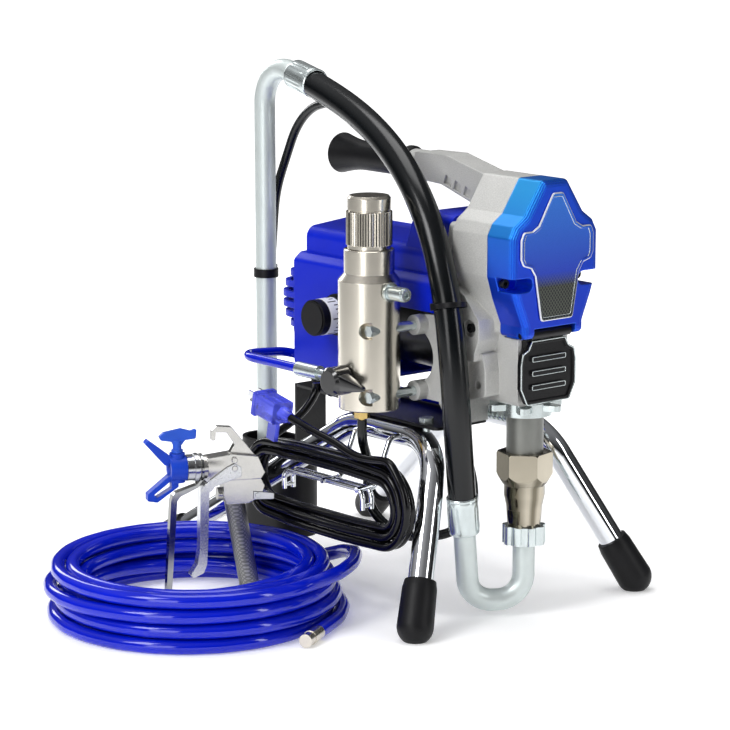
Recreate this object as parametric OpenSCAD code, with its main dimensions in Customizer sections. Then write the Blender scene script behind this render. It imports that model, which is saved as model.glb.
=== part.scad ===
// Stand-mounted electric airless paint sprayer with its suction set, power cord,
// coiled spray hose and spray gun. Millimetres, +Z up, +X toward the pump end.

/* [Stand] */
// Outside diameter of the frame tubes
frame_tube_d = 25.4; // [22:0.2:27]
// Wall of the frame tubes
frame_tube_wall = 1.6; // [1:0.1:2.5]
// Distance between the two top bars
frame_bar_gap = 140; // [130:1:150]
// Height of the top bars' centre line
frame_bar_height = 177; // [172:1:180]
// Distance between the two front feet
feet_track = 312; // [290:2:330]
// Distance from the front feet to the rear feet
feet_wheelbase = 446; // [420:2:460]
// Radius of the bends in the frame tubes
frame_bend_r = 55; // [45:1:65]
// Outside diameter of the rubber feet
foot_d = 36.5; // [35:0.5:42]
// Length of the rubber feet
foot_length = 46; // [38:1:54]
// Thickness of the mounting plate
plate_t = 3; // [2:0.5:4]

/* [Drive] */
// Height of the motor's axis
motor_height = 288; // [286:1:290]
// Diameter of the motor can
motor_d = 108; // [96:1:110]
// Length of the motor can
motor_length = 190; // [170:1:194]
// Wall of the motor can
motor_wall = 4; // [3:0.5:5]
// Pitch radius of the motor pinion
pinion_r = 8; // [7:0.5:9]
// Pitch radius of the crank gear
gear_r = 40; // [36:1:40]
// Throw of the crank, half the pump's stroke
crank_throw = 12; // [8:0.5:12]
// Half width of the drive housing at its widest
housing_half_w = 57; // [54:0.5:60]
// Depth of the drive housing behind the cover
housing_depth = 50; // [46:1:52]
// Depth of the front cover
cover_depth = 36; // [30:1:40]
// Wall of the front cover
cover_wall = 3; // [2:0.5:4]

/* [Handle] */
// Height of the carrying handle above the motor
handle_rise = 150; // [146:1:156]
// Diameter of the grip
grip_d = 30; // [28:0.5:33]
// Length of the grip
grip_length = 136; // [120:1:150]

/* [Shroud] */
// Half width of the motor shroud
shroud_half_w = 65; // [62:0.5:68]
// Height of the shroud's roof above the motor
shroud_rise = 82; // [74:1:88]
// Wall of the shroud
shroud_wall = 3; // [2:0.5:4]
// How far the fan grille stands out
grille_depth = 38; // [32:1:42]
// Number of bars on the fan grille
grille_bars = 8; // [6:1:10]

/* [Pump] */
// Outside diameter of the pump cylinder
cylinder_d = 37; // [34:0.5:40]
// Diameter of the pump rod
rod_d = 16; // [12:0.5:18]
// Radius over the lugs of the jam nut
jam_nut_r = 40.5; // [36:0.5:42]
// Thickness of the jam nut
jam_nut_t = 13.5; // [11:0.5:14]
// Size of the intake hexagon over its corners
intake_hex_d = 56; // [50:1:60]
// Diameter of the intake ball
intake_ball_d = 12; // [10:0.5:14]

/* [Suction] */
// Outside diameter of the aluminium suction tubes
tube_d = 22.2; // [20:0.2:24]
// Wall of the aluminium suction tubes
tube_wall = 1.5; // [1:0.1:2.5]
// Outside diameter of the suction hose
suction_hose_d = 28; // [26.5:0.5:30]
// Height of the drop tube's top bend
drop_tube_top = 530; // [500:1:550]

/* [Manifold] */
// Diameter of the filter manifold
manifold_d = 61.5; // [58:0.5:66]
// Height of the manifold's body
manifold_body_h = 128; // [124:1:134]
// Diameter of the knurled filter cap
filter_cap_d = 45; // [42:0.5:48]
// Diameter of the filter element
filter_d = 24; // [20:0.5:27]
// Diameter of the two manifold bolts
manifold_bolt_d = 10; // [8:0.5:11]
// Diameter of the pressure knob
knob_d = 37; // [32:0.5:42]
// Length of the pressure knob
knob_length = 38; // [30:1:42]
// Diameter of the prime valve handle's hub
prime_hub_d = 29; // [25:0.5:32]
// Outside diameter of the blue whip hose
whip_hose_d = 9.6; // [8:0.2:10.4]
// Outside diameter of the drain tube
drain_tube_d = 9.6; // [8:0.2:11]

/* [Cord and hose] */
// Diameter of the power cord
cord_d = 8.6; // [7:0.2:8.6]
// Outside diameter of the spray hose
spray_hose_d = 14.5; // [13:0.1:14.8]
// Radius of the outermost loop's centre line
coil_r = 150; // [140:1:160]

/* [Gun] */
// Height of the gun's bore above the floor
gun_bore_height = 136.5; // [132:0.5:140]
// Width of the gun's body
gun_body_w = 20; // [18:0.5:24]
// Diameter of the tip retaining nut
tip_nut_d = 27; // [25:0.5:30]
// Diameter of the spray tip's barrel
tip_barrel_d = 9; // [8:0.5:10]

/* [Hidden] */

$fn = 64;

// The origin lies on the floor in the middle of the footprint; the machine is laid
// out from the pump's axis, which stands here:
pump_x = 195.84;
pump_y = 45.85;

// Clearances
seat = 0.3;
run_fit = 0.05;
slip = 0.15;

// Colours
chrome = [0.78, 0.80, 0.83];
zinc = [0.66, 0.68, 0.70];
nickel = [0.62, 0.59, 0.54];
cast_grey = [0.72, 0.73, 0.74];
blue_plastic = [0.05, 0.14, 0.62];
bright_blue = [0.06, 0.25, 0.80];
black_plastic = [0.06, 0.06, 0.07];
black_rubber = [0.10, 0.10, 0.11];
brass = [0.78, 0.60, 0.25];
steel = [0.55, 0.57, 0.60];

// Stand
stand_y = 4;
tube_r = frame_tube_d / 2;
front_foot_x = 8;
rear_foot_x = front_foot_x - feet_wheelbase;
bar_front_x = -57;
bar_rear_x = -182;
lap = 0.3;
bend_step = 0.06;
bar_top = frame_bar_height + tube_r + bend_step;
plate_top = bar_top + plate_t;
foot_ball_height = 14;
frame_bolt_x = [-72, -166];
frame_bolt_d = 8;
tongue_x = -313.7;
tongue_bottom = 104;

// Drive housing
housing_front = 5;
housing_rear = housing_front - housing_depth;
bulkhead_rear = housing_rear - 12;
crank_height = motor_height + pinion_r + gear_r;
gear_x = -38;
gear_w = 12;
crank_disc_x = gear_x + gear_w;
crank_disc_w = 12;
crank_pin_x = crank_disc_x + crank_disc_w;
crank_pin_r = 8;
rod_big_end_r = 15;
rod_small_end_r = 8;
rod_small_end_z = crank_height + crank_throw - 54;
pump_neck_bottom = 219;
pump_neck_half_w = 33;
pump_neck_front = 24;
cover_screw_y = housing_half_w - 9;
cover_screw_z = 342;
case_screw_x = -16;
case_screw_z = 295;
shaft_r = 6;
crank_shaft_r = 10;
can_rear = bulkhead_rear - motor_length;
fan_x = -270;
cover_rear = housing_front + seat;
cover_front = cover_rear + cover_depth;
cover_edge = 7;
door_pin_x = 32;
door_pin_z = 291;
door_pin_d = 6;

// Manifold and its bolts
manifold_x = -106;
manifold_y = -112;
manifold_r = manifold_d / 2;
manifold_bottom = 209.5;
manifold_shoulder = manifold_bottom + manifold_body_h;
manifold_neck_top = manifold_shoulder + 31;
filter_cap_bottom = manifold_neck_top + 4;
manifold_bolt_x = -82;
manifold_bolt_z = [225, 291];
bolt_seat_y = manifold_y - 17;
bolt_end_y = -56;
boss_y = -75;
boss_r = 10;
prime_z = 241;
drain_y = manifold_y - 9;
drain_hex_z = 200;
transducer_z = 328.5;
prime_face_y = -165;
prime_hub_rear = -143;

// Shroud
shroud_front = bulkhead_rear;
shroud_rear = -283;
shroud_bottom = 220;
shroud_top = motor_height + shroud_rise;
shroud_ledge = motor_height + 48;
shroud_shoulder = 350;
shroud_peak = 400;
handle_height = motor_height + handle_rise;
dome_half_w = 52;
grille_half_w = 64;
grille_half_h = 42;
grille_bar_h = 6.5;
arm_foot_top = 439;
shroud_cut_x = -165;
shroud_cut_z = 304;
knob_x = -207;
knob_z = 284;
switch_x = -176;
switch_z = 262;
switch_tilt = 15;

// Pump column
cylinder_bottom = 167.3;
cylinder_top = 246;
jam_nut_z = pump_neck_bottom - seat - jam_nut_t;
intake_top = cylinder_bottom;
intake_hex_bottom = 133;
intake_bottom = 91;
rod_top = rod_small_end_z - rod_small_end_r - 2 * crank_throw - 0.7;
rod_bottom = 186;
piston_r = cylinder_d / 2 - 6.5;
outlet_z = 198.5;
ball_z = 117;
ball_seat_r = intake_ball_d * 3 / 8;
ball_seat_z = ball_z - sqrt(pow(intake_ball_d / 2, 2) - pow(ball_seat_r, 2)) - seat;
nut_thread_r = 16.5;
nut_bottom = 74;
nut_h = 18.5;

// Suction set
drop_x = -388;
drop_y = -20;
tube_r_s = tube_d / 2;
hose_r_s = suction_hose_d / 2;
hose_bore_r = tube_r_s + run_fit;
ferrule_wall = 1.5;
ferrule_length = 36;
// both tubes run straight into the hose, under its ferrules
drop_corner = [drop_x, drop_y, drop_tube_top];
hose_top = [-222, -36, 497];
drop_dir = unit(hose_top - drop_corner);
drop_hose_end = drop_corner + 56 * drop_dir;
hose_low = [-10, -86, 258];
lower_hose_end = [-22, -60, 92];
lower_dir = unit(hose_low - lower_hose_end);
loop_z = 16.5;
lower_corner = lower_hose_end - lower_dir * (lower_hose_end[2] - loop_z) / lower_dir[2];
lower_tube_points = [
    [0, 0, intake_bottom - seat], [0, 0, loop_z], lower_corner,
    lower_hose_end + (ferrule_length - 4) * lower_dir
];
drop_tube_points = [
    [drop_x + 2, drop_y, 58], drop_corner, drop_hose_end + (ferrule_length - 4) * drop_dir
];
suction_points = [
    drop_hose_end, hose_top, [-104, -61, 451], [-24, -79, 358], hose_low, lower_hose_end
];
suction_bends = [0, 190, 170, 180, 280, 0];

// Drip cup
cup_x = -364;
cup_bottom = 22;
cup_height = 100;
cup_length = 96;
cup_width = 50;
cup_wall = 2.5;

// Whip hose, drain tube
whip_z = 232;
whip_points = [
    [-186, manifold_y, whip_z], [-322, manifold_y, whip_z], [-330, -28, 224],
    [-268, 0, 198.5], [-64, 0, 198.5]
];
whip_bends = [0, 38, 34, 34, 0];
drain_points = [
    [manifold_x, drain_y, 198], [manifold_x, drain_y, 178], [-114, -106, 150], [-118, -105, 105],
    [-88, -88, 76], [-54, -56, 80], [-33, -38, 98], [-27, -43, 135], [-30, -66, 215],
    [-29, -70.5, 262], [-33, -70, 305], [-45, -66, 350], [-69, -58.5, 388], [-106, -49.5, 428],
    [-176, -31, 465], [-262, -13, 496], [-350, 0, 478], [-398, 2, 385], [-404, 0, 300],
    [-396.5, -5.7, 150], [-396.5, -5.7, 85]
];
drain_bends = [
    0, 24, 56, 40, 45, 45, 26, 120, 120, 120, 120, 120, 120, 120, 120, 120, 86, 120, 120, 120, 0
];

tie_hose = [-19.1, -81.6, 319.4];
tie_drain = [-35.6, -69.1, 314.6];
clip_z = 296;
clip_x = -387;
drain_clip = [-403.8, 0];

// Power cord: the route's points, chosen by hand
hank_loops = 4.65;
hank_x = -155;
hank_z = 118;
hank_a = 129;
hank_b = 46;
hank_back_y = -121;
hank_pitch = 9.6;
hank_layer = 9.4;
hank_end_angle = 50;
hank_start_angle = hank_end_angle - 360 * hank_loops;
gland_x = -262;
gland_y = -52;
cord_lead_points = [
    [gland_x, gland_y, 202.4], [gland_x, gland_y, 194], [-266, -68, 172], [-274, -94, 154],
    [-281, -112, 142]
];
cord_tail_points = [[-98, -133, 163], [-130, -135, 172], [-163, -138, 179.5]];
plug_rear = [-198, -138, 187];
plug_rise = 12;

// Spray hose coil
coil_x = -214;
coil_y = -249;
coil_turn = 140;
coil_stretch = 1.075;
coil_pitch = spray_hose_d + 0.7;
coil_layer = spray_hose_d + 0.7;
coil_layers = 4;
coil_loops_per_layer = 2.25;
coil_rings = 24;
coil_start = 20;

// Gun
gun_x = -237;
gun_y = -160;
gun_turn = 247;
handle_lean = 17;
trigger_pin_x = 19;
trigger_pin_z = gun_bore_height - 1.5;
guard_x = 89;
tip_key_x = 76;
lock_x = -5;
lock_z = gun_bore_height - 31;

// Vectors
function unit(v) = v / norm(v);
function corner_angle(a, b, c) = acos(min(1, max(-1, unit(b - a) * unit(c - b))));
function corner_cut(a, b, c, r) = r * tan(corner_angle(a, b, c) / 2);

// Places on the machine and on the gun
module on_machine() translate([pump_x, pump_y, 0]) children();
module on_gun() on_machine() translate([gun_x, gun_y, 0]) rotate([0, 0, gun_turn]) children();
module on_manifold() on_machine() translate([manifold_x, manifold_y, 0]) children();

// A cylinder from one point to another
module rod_between(a, b, r) {
    d = b - a;
    translate(a)
        rotate([0, acos(d[2] / norm(d)), atan2(d[1], d[0])])
            cylinder(r = r, h = norm(d));
}

// Cylinders along one axis, starting at the place given
module along_x(x, y, z, r, h) translate([x, y, z]) rotate([0, 90, 0]) cylinder(r = r, h = h);
module along_y(x, y, z, r, h) translate([x, y, z]) rotate([-90, 0, 0]) cylinder(r = r, h = h);

// The section of a tube, or of a solid bar when the bore is 0
module section(r, bore_r) difference() {
    circle(r = r);
    if (bore_r > 0) circle(r = bore_r);
}

// The round bend at b between two straight runs
module bend(a, b, c, bend_r, r, bore_r) {
    u = unit(b - a);
    v = unit(c - b);
    turn = corner_angle(a, b, c);
    n = unit(v - (v * u) * u);
    w = cross(u, n);
    m = b - u * corner_cut(a, b, c, bend_r) + n * bend_r;
    multmatrix([
        [-n[0], u[0], w[0], m[0]],
        [-n[1], u[1], w[1], m[1]],
        [-n[2], u[2], w[2], m[2]],
        [0, 0, 0, 1]
    ])
        rotate_extrude(angle = turn) translate([bend_r, 0]) section(r, bore_r);
}

// A tube bent along a list of points, or a solid bar when the bore is 0. Each bend is
// thicker than the straights by bend_step, and they reach into it by lap.
module bent_tube(points, bends, r, bore_r = 0) {
    last = len(points) - 1;
    for (i = [0:last - 1]) {
        d = unit(points[i + 1] - points[i]);
        start = i == 0 ? 0
            : corner_cut(points[i - 1], points[i], points[i + 1], bends[i]) - lap;
        end = i == last - 1 ? 0
            : corner_cut(points[i], points[i + 1], points[i + 2], bends[i + 1]) - lap;
        translate(points[i] + d * start)
            rotate([0, acos(d[2]), atan2(d[1], d[0])])
                linear_extrude(norm(points[i + 1] - points[i]) - start - end)
                    rotate(20) section(r, bore_r);
    }
    for (i = [1:last - 1])
        bend(points[i - 1], points[i], points[i + 1], bends[i], r + bend_step,
            bore_r > 0 ? bore_r - bend_step : 0);
}

// A tube swept through many points, for cords and coils
function tangent(p, i) = unit(p[min(i + 1, len(p) - 1)] - p[max(i - 1, 0)]);
function normals(p, n0) = [
    for (i = 0, n = n0; i < len(p);
         i = i + 1, n = i < len(p) ? unit(n - (n * tangent(p, i)) * tangent(p, i)) : n) n
];
module swept_cord(p, r, sides, n0) {
    n = normals(p, unit(n0 - (n0 * tangent(p, 0)) * tangent(p, 0)));
    last = len(p) - 1;
    points = [
        for (i = [0:last]) for (s = [0:sides - 1])
            let (t = tangent(p, i), b = cross(t, n[i]), a = 360 * (s + 0.5) / sides)
                p[i] + r * (cos(a) * n[i] + sin(a) * b)
    ];
    faces = concat(
        [[for (s = [0:sides - 1]) s]],
        [[for (s = [sides - 1:-1:0]) last * sides + s]],
        [for (i = [0:last - 1]) for (s = [0:sides - 1])
            let (q = i * sides, e = (s + 1) % sides) [q + s, q + s + sides, q + e + sides]],
        [for (i = [0:last - 1]) for (s = [0:sides - 1])
            let (q = i * sides, e = (s + 1) % sides) [q + s, q + e + sides, q + e]]
    );
    polyhedron(points, faces);
}

// A smooth curve through hand-picked points
function between(a, b, c, d, t) =
    0.5 * ((2 * b) + (c - a) * t + (2 * a - 5 * b + 4 * c - d) * t * t
        + (3 * b - a - 3 * c + d) * t * t * t);
function smooth(p, steps) = concat(
    [for (i = [0:len(p) - 2]) for (s = [0:steps - 1])
        between(p[max(i - 1, 0)], p[i], p[i + 1], p[min(i + 2, len(p) - 1)], s / steps)],
    [p[len(p) - 1]]
);

// Frame
function frame_points(side) =
    let (bar_y = stand_y + side * frame_bar_gap / 2, foot_y = stand_y + side * feet_track / 2)
        [
            [front_foot_x, foot_y, 0],
            [bar_front_x, bar_y, frame_bar_height],
            [bar_rear_x, bar_y, frame_bar_height],
            [rear_foot_x, foot_y, 0]
        ];
function leg_at(foot, top, height) = foot + (top - foot) * height / top[2];
function trimmed_frame(side) =
    let (p = frame_points(side))
        [leg_at(p[0], p[1], foot_ball_height), p[1], p[2], leg_at(p[3], p[2], foot_ball_height)];

module frame_tube(side) {
    difference() {
        bent_tube(trimmed_frame(side), [0, frame_bend_r, frame_bend_r, 0], tube_r,
            tube_r - frame_tube_wall);
        for (x = frame_bolt_x)
            translate([x, stand_y + side * frame_bar_gap / 2, frame_bar_height])
                cylinder(d = frame_bolt_d + 2 * run_fit, h = tube_r + 5);
    }
}
module left_frame_tube() color(chrome) on_machine() frame_tube(-1);
module right_frame_tube() color(chrome) on_machine() frame_tube(1);

module frame_plate() color(black_plastic) on_machine() {
    half = frame_bar_gap / 2 + 10;
    difference() {
        union() {
            translate([0, stand_y, bar_top])
                linear_extrude(plate_t)
                    offset(6) offset(-6)
                        polygon([
                            [-186, -half], [-46, -half], [-46, half], [-186, half], [-186, 6],
                            [tongue_x, -4], [tongue_x, -44], [-186, -54]
                        ]);
            // the tongue's end turns down in front of the drip cup
            translate([tongue_x, drop_y - 20, tongue_bottom])
                cube([plate_t, 40, plate_top - tongue_bottom]);
        }
        for (x = frame_bolt_x) for (side = [-1, 1])
            translate([x, stand_y + side * frame_bar_gap / 2, bar_top - 1])
                cylinder(d = frame_bolt_d + 2 * run_fit, h = plate_t + 2);
        for (y = [-36, 36]) translate([bulkhead_rear + 6, y, bar_top - 1])
            cylinder(d = frame_bolt_d + 2 * run_fit, h = plate_t + 2);
        // room for the whip hose's fitting
        translate([-92, -10, bar_top - 1]) cube([60, 20, plate_t + 2]);
    }
}

module rubber_feet() color(black_rubber) on_machine()
    for (side = [-1, 1]) {
        p = frame_points(side);
        for (leg = [[p[0], p[1]], [p[3], p[2]]]) {
            d = leg[1] - leg[0];
            low = leg_at(leg[0], leg[1], foot_ball_height);
            lean = acos(d[2] / norm(d));
            difference() {
                translate(low)
                    rotate([0, lean, atan2(d[1], d[0])])
                        rotate_extrude() difference() {
                            union() {
                                intersection() {
                                    circle(d = foot_d);
                                    translate([0, -foot_d]) square([foot_d, foot_d]);
                                }
                                polygon([
                                    [0, 0], [foot_d / 2, 0], [foot_d / 2 - 1, foot_length - 8],
                                    [foot_d / 2 - 2.5, foot_length], [0, foot_length]
                                ]);
                            }
                            square([tube_r + run_fit, foot_length + 1]);
                        }
                translate([leg[0][0] - 100, leg[0][1] - 100, -200]) cube([200, 200, 200]);
            }
        }
    }

// A hexagon-headed bolt standing on z = 0, its shank below
module hex_bolt(d, shank, head_d, head_h) {
    cylinder(d = head_d, h = head_h, $fn = 6);
    translate([0, 0, -shank]) cylinder(d = d, h = shank);
}

module zinc_bolts() color(zinc) on_machine() {
    for (x = frame_bolt_x) for (side = [-1, 1])
        translate([x, stand_y + side * frame_bar_gap / 2, plate_top])
            hex_bolt(frame_bolt_d, plate_t + 8, 15, 5.5);
    for (y = [-36, 36]) translate([bulkhead_rear + 6, y, bar_top])
        rotate([180, 0, 0]) hex_bolt(frame_bolt_d, plate_t + 12, 15, 5.5);
    // the two bolts that hold the manifold off the motor bracket
    for (z = manifold_bolt_z)
        translate([manifold_bolt_x, bolt_seat_y, z]) rotate([90, 0, 0])
            hex_bolt(manifold_bolt_d, bolt_end_y - bolt_seat_y, 12, 4.5);
}

module cord_wrap() color(chrome) on_machine() {
    wire_r = 2.5;
    y1 = hank_back_y + 1;
    y2 = hank_back_y - hank_layer - 1;
    z = hank_z + 12;
    x1 = hank_x + 62;
    x2 = hank_x - 62;
    for (y = [y1, y2])
        bent_tube([[x1, y, z - 20], [x1, y, z], [x2, y, z], [x2, y, z - 20]], [0, 9, 9, 0], wire_r);
    for (x = [x1, x2]) along_y(x, y2, z - 16, wire_r - 0.3, y1 - y2);
    // two struts carry it on the frame's left bar
    bar_side = stand_y - frame_bar_gap / 2 - tube_r - seat;
    for (x = [x1 - 5, x2 + 65])
        bent_tube([
            [x, bar_side, frame_bar_height], [x, bar_side - 12, frame_bar_height],
            [x, y1 + 9, z], [x, y2 - 4, z]
        ], [0, 8, 8, 0], wire_r + 0.4);
}

module cup_outline(grow) {
    hull() for (side = [-1, 1])
        translate([side * (cup_length - cup_width) / 2, 0]) circle(d = cup_width + 2 * grow);
}
module drip_cup() color(black_plastic) on_machine()
    translate([cup_x, drop_y, cup_bottom]) difference() {
        union() {
            linear_extrude(cup_height) cup_outline(0);
            translate([0, 0, cup_height - 6]) linear_extrude(6) cup_outline(2);
            // the loop at the front takes the plate's tongue
            translate([cup_length / 2 - 1, -24, tongue_bottom + 4 - cup_bottom]) cube([10.5, 48, 12]);
        }
        translate([tongue_x - seat - cup_x, -20 - seat, 50])
            cube([plate_t + 2 * seat, 40 + 2 * seat, 100]);
        translate([0, 0, cup_wall]) linear_extrude(cup_height) cup_outline(-cup_wall);
    }

// Profiles drawn across the machine (y, z) and along it (x, z)
module extrude_x(x, h) translate([x, 0, 0]) rotate([90, 0, 90]) linear_extrude(h) children();
module extrude_y(y, h) translate([0, y + h, 0]) rotate([90, 0, 0]) linear_extrude(h) children();
module both_sides() {
    children();
    mirror([1, 0]) children();
}

// Outline shared by the drive housing and its front cover
module shield(grow = 0) {
    w = housing_half_w;
    offset(grow) offset(5) offset(-5) both_sides()
        polygon([
            [-1, 441], [16, 441], [38, 408], [w - 6, 399], [w, 388], [w, 348],
            [w - 7, 326], [39, 300], [39, 288], [-1, 288]
        ]);
}

// Drive
module drive_housing() color(cast_grey) on_machine() difference() {
    union() {
        extrude_x(housing_rear, housing_depth) shield();
        // the bulkhead behind it stands on the mounting plate and carries the motor
        extrude_x(bulkhead_rear, 12.5) offset(6) offset(-6) polygon([
            [-63, 214], [-50, plate_top], [50, plate_top], [58, 214], [58, 330], [50, 394],
            [-50, 394], [-58, 330], [-63, 303]
        ]);
        // the neck that clamps the pump
        difference() {
            extrude_x(-30, 30 + pump_neck_front) offset(5) offset(-5) polygon([
                [-pump_neck_half_w, pump_neck_bottom], [pump_neck_half_w, pump_neck_bottom],
                [pump_neck_half_w, 310], [-pump_neck_half_w, 310]
            ]);
            translate([housing_front, -50, door_pin_z - 5]) cube([50, 100, 50]);
        }
        // the arm that reaches back to the manifold, open round the motor
        extrude_y(-63, 8) difference() {
            offset(-4) offset(8) offset(-4) polygon([
                [bulkhead_rear + 6, 216], [manifold_bolt_x - 9, 216],
                [manifold_bolt_x - 9, 300], [bulkhead_rear + 6, 303]
            ]);
            translate([manifold_bolt_x - 12, 258]) circle(r = 28);
        }
        for (z = manifold_bolt_z) along_y(manifold_bolt_x, boss_y, z, boss_r, bolt_end_y - boss_y);
        // the stepped side toward the manifold, which takes the case screw
        extrude_y(-60, 28) offset(3) offset(-3) polygon([
            [housing_rear - 1, 338], [-24, 326], [-3, 304], [-3, 284], [-9, 270], [-9, 262],
            [housing_rear - 1, 262]
        ]);
        extrude_y(-52, 20) offset(3) offset(-3) polygon([
            [housing_rear - 1, 270], [-6, 270], [-2, 252], [-2, 228], [-22, 222],
            [housing_rear - 1, 222]
        ]);
    }
    // slot for the whip hose's fitting
    translate([bulkhead_rear - 1, -9, plate_top - 1]) cube([16, 18, outlet_z + 9 - plate_top]);
    for (z = manifold_bolt_z)
        along_y(manifold_bolt_x, boss_y - 1, z, manifold_bolt_d / 2 + run_fit, bolt_end_y - boss_y + 2);
    // gear case, open toward the cover, with the pinion's pocket below it
    along_x(gear_x - 1.5, 0, crank_height, gear_r + 2, 60);
    along_x(gear_x - 1.5, 0, motor_height, pinion_r + 1.6, gear_w + 6);
    translate([-15, -28, cylinder_top + seat]) cube([63, 56, crank_height - cylinder_top]);
    // seats of the crank bearing and of the motor's front bearing
    along_x(bulkhead_rear + 4, 0, crank_height, 16 + run_fit, 14);
    along_x(bulkhead_rear + 4, 0, motor_height, 13 + run_fit, 14);
    along_x(bulkhead_rear - 1, 0, motor_height, 7, 10);
    translate([0, 0, pump_neck_bottom - 1])
        cylinder(r = cylinder_d / 2 + run_fit, h = cylinder_top + seat + 1 - pump_neck_bottom);
    for (y = [-36, 36]) translate([bulkhead_rear + 6, y, plate_top - 1])
        cylinder(d = frame_bolt_d + 2 * run_fit, h = 14);
    for (side = [-1, 1])
        along_x(housing_front - 12, side * cover_screw_y, cover_screw_z, 2.5 + run_fit, 14);
    // recess round a case screw, and a drilled ear, on the side toward the manifold
    along_y(case_screw_x, -61, case_screw_z, 8.5, 5);
    along_y(-12, -53, 238, 4, 12);
}

module handle_arm() color(cast_grey) on_machine() {
    front = housing_rear - seat;
    difference() {
        union() {
            extrude_y(-15, 30) offset(3) offset(-3) polygon([
                [-150, handle_height + 14], [-104, handle_height + 15], [front, arm_foot_top],
                [front, arm_foot_top - 36], [-110, handle_height - 15], [-150, handle_height - 13]
            ]);
            along_x(-166, 0, handle_height, grip_d / 2 - 0.5, 40);
            along_x(-148 - grip_length + 8, 0, handle_height, 10, grip_length);
        }
        // gusset pockets along the lower edge of both sides
        for (i = [0:3]) for (y = [-16, 12])
            extrude_y(y, 4) translate([-106 + 14.5 * i, handle_height - 13.5 - 4.4 * i])
                polygon([[0, 0], [11, -3.4], [11, 5], [3, 9]]);
    }
}

module handle_grip() color(black_rubber) on_machine() {
    rear = -148 - grip_length;
    r = grip_d / 2;
    translate([rear, 0, handle_height]) rotate([0, 90, 0]) difference() {
        rotate_extrude() difference() {
            polygon(concat(
                [[0, 0], [r + 3, 0], [r + 6, 3]],
                [for (t = [0:5:40]) [r + 6 - 6 * sin(t * 90 / 40), 3 + t]],
                [[r, grip_length - 27], [r + 2.2, grip_length - 26], [r + 2.2, grip_length - 22],
                    [r, grip_length - 19], [0, grip_length - 19]]
            ));
            translate([0, 6]) square([10 + run_fit, grip_length]);
        }
    }
}

module front_cover() color(bright_blue) on_machine() {
    main = cover_depth - cover_edge;
    pocket_x = cover_rear + 12;
    difference() {
        union() {
            difference() {
                union() {
                    extrude_x(cover_rear, main) shield();
                    // the front edge rounds off
                    for (a = [18:18:90])
                        extrude_x(cover_rear + main - 1, cover_edge * sin(a) + 1)
                            shield(-cover_edge * (1 - cos(a - 9)));
                }
                extrude_x(cover_rear - 1, main + 1) shield(-cover_wall);
            }
            // pockets that sink the two cover screws
            for (side = [-1, 1]) intersection() {
                extrude_x(cover_rear, main) pocket(side, 9.5);
                extrude_x(cover_rear, main) shield();
            }
            // ears that carry the door's pin
            for (side = [-1, 1])
                translate([cover_rear + 8, side * 33 - 5, 288]) cube([main - 8, 10, 12]);
        }
        // the gap above the pump door's hinge
        translate([cover_rear - 1, -27.5, 280]) cube([cover_depth + 2, 55, door_pin_z + 7 - 280]);
        for (side = [-1, 1]) {
            extrude_x(pocket_x, cover_depth) pocket(side, 7);
            along_x(cover_rear - 1, side * cover_screw_y, cover_screw_z, 2.5 + run_fit, 20);
        }
        along_y(door_pin_x, -45, door_pin_z, door_pin_d / 2 + run_fit, 90);
    }
}
module pocket(side, r) translate([side * (housing_half_w - 20), cover_screw_z]) {
    circle(r = r);
    translate([side > 0 ? 0 : -40, -r]) square([40, 2 * r]);
}

// Outline of the face panel
module panel_outline(grow = 0)
    offset(grow) offset(3) offset(-3) both_sides()
        polygon([
            [-1, 428], [6, 428], [24, 398], [33, 393], [44, 393], [47, 386], [47, 368],
            [44, 362], [34, 359], [28, 350], [20, 306], [-1, 306]
        ]);
module face_panel() color(blue_plastic) on_machine() {
    extrude_x(cover_front, 2) panel_outline(-1.5);
    extrude_x(cover_front, 3) difference() {
        panel_outline();
        panel_outline(-1.8);
    }
}

module black_screws() color(black_plastic) on_machine() {
    for (side = [-1, 1])
        translate([cover_rear + 12, side * cover_screw_y, cover_screw_z]) rotate([0, 90, 0])
            difference() {
                union() {
                    cylinder(d = 9, h = 5);
                    translate([0, 0, -22]) cylinder(d = 5, h = 22);
                }
                translate([0, 0, 2]) cylinder(d = 5, h = 4, $fn = 6);
            }
    // the pump door's pin
    along_y(door_pin_x, -37, door_pin_z, door_pin_d / 2, 74);
    // the case screw on the side of the housing
    translate([case_screw_x, -56, case_screw_z]) rotate([90, 0, 0]) difference() {
        cylinder(d = 9, h = 3.5);
        translate([0, 0, 1.5]) cylinder(d = 5, h = 4, $fn = 6);
    }
}

module door_outline(grow = 0) offset(grow) offset(2) offset(-2) both_sides()
    polygon([
        [-1, 284], [22, 284], [26, 276], [34, 272], [36, 262], [36, 238], [28, 222], [-1, 222]
    ]);
module pump_door() color(black_plastic) on_machine() {
    difference() {
        union() {
            extrude_x(27, 4) door_outline();
            extrude_x(30.5, 2.1) difference() {
                door_outline();
                door_outline(-3);
            }
            // louvres
            for (z = [236, 250, 264]) extrude_x(29, 4.6) translate([-22, z]) square([44, 4.5]);
            along_y(door_pin_x, -26, door_pin_z, 5.5, 52);
            translate([27, -20, 280]) cube([4, 40, 10]);
        }
        along_y(door_pin_x, -45, door_pin_z, door_pin_d / 2 + run_fit, 90);
    }
}

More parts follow.
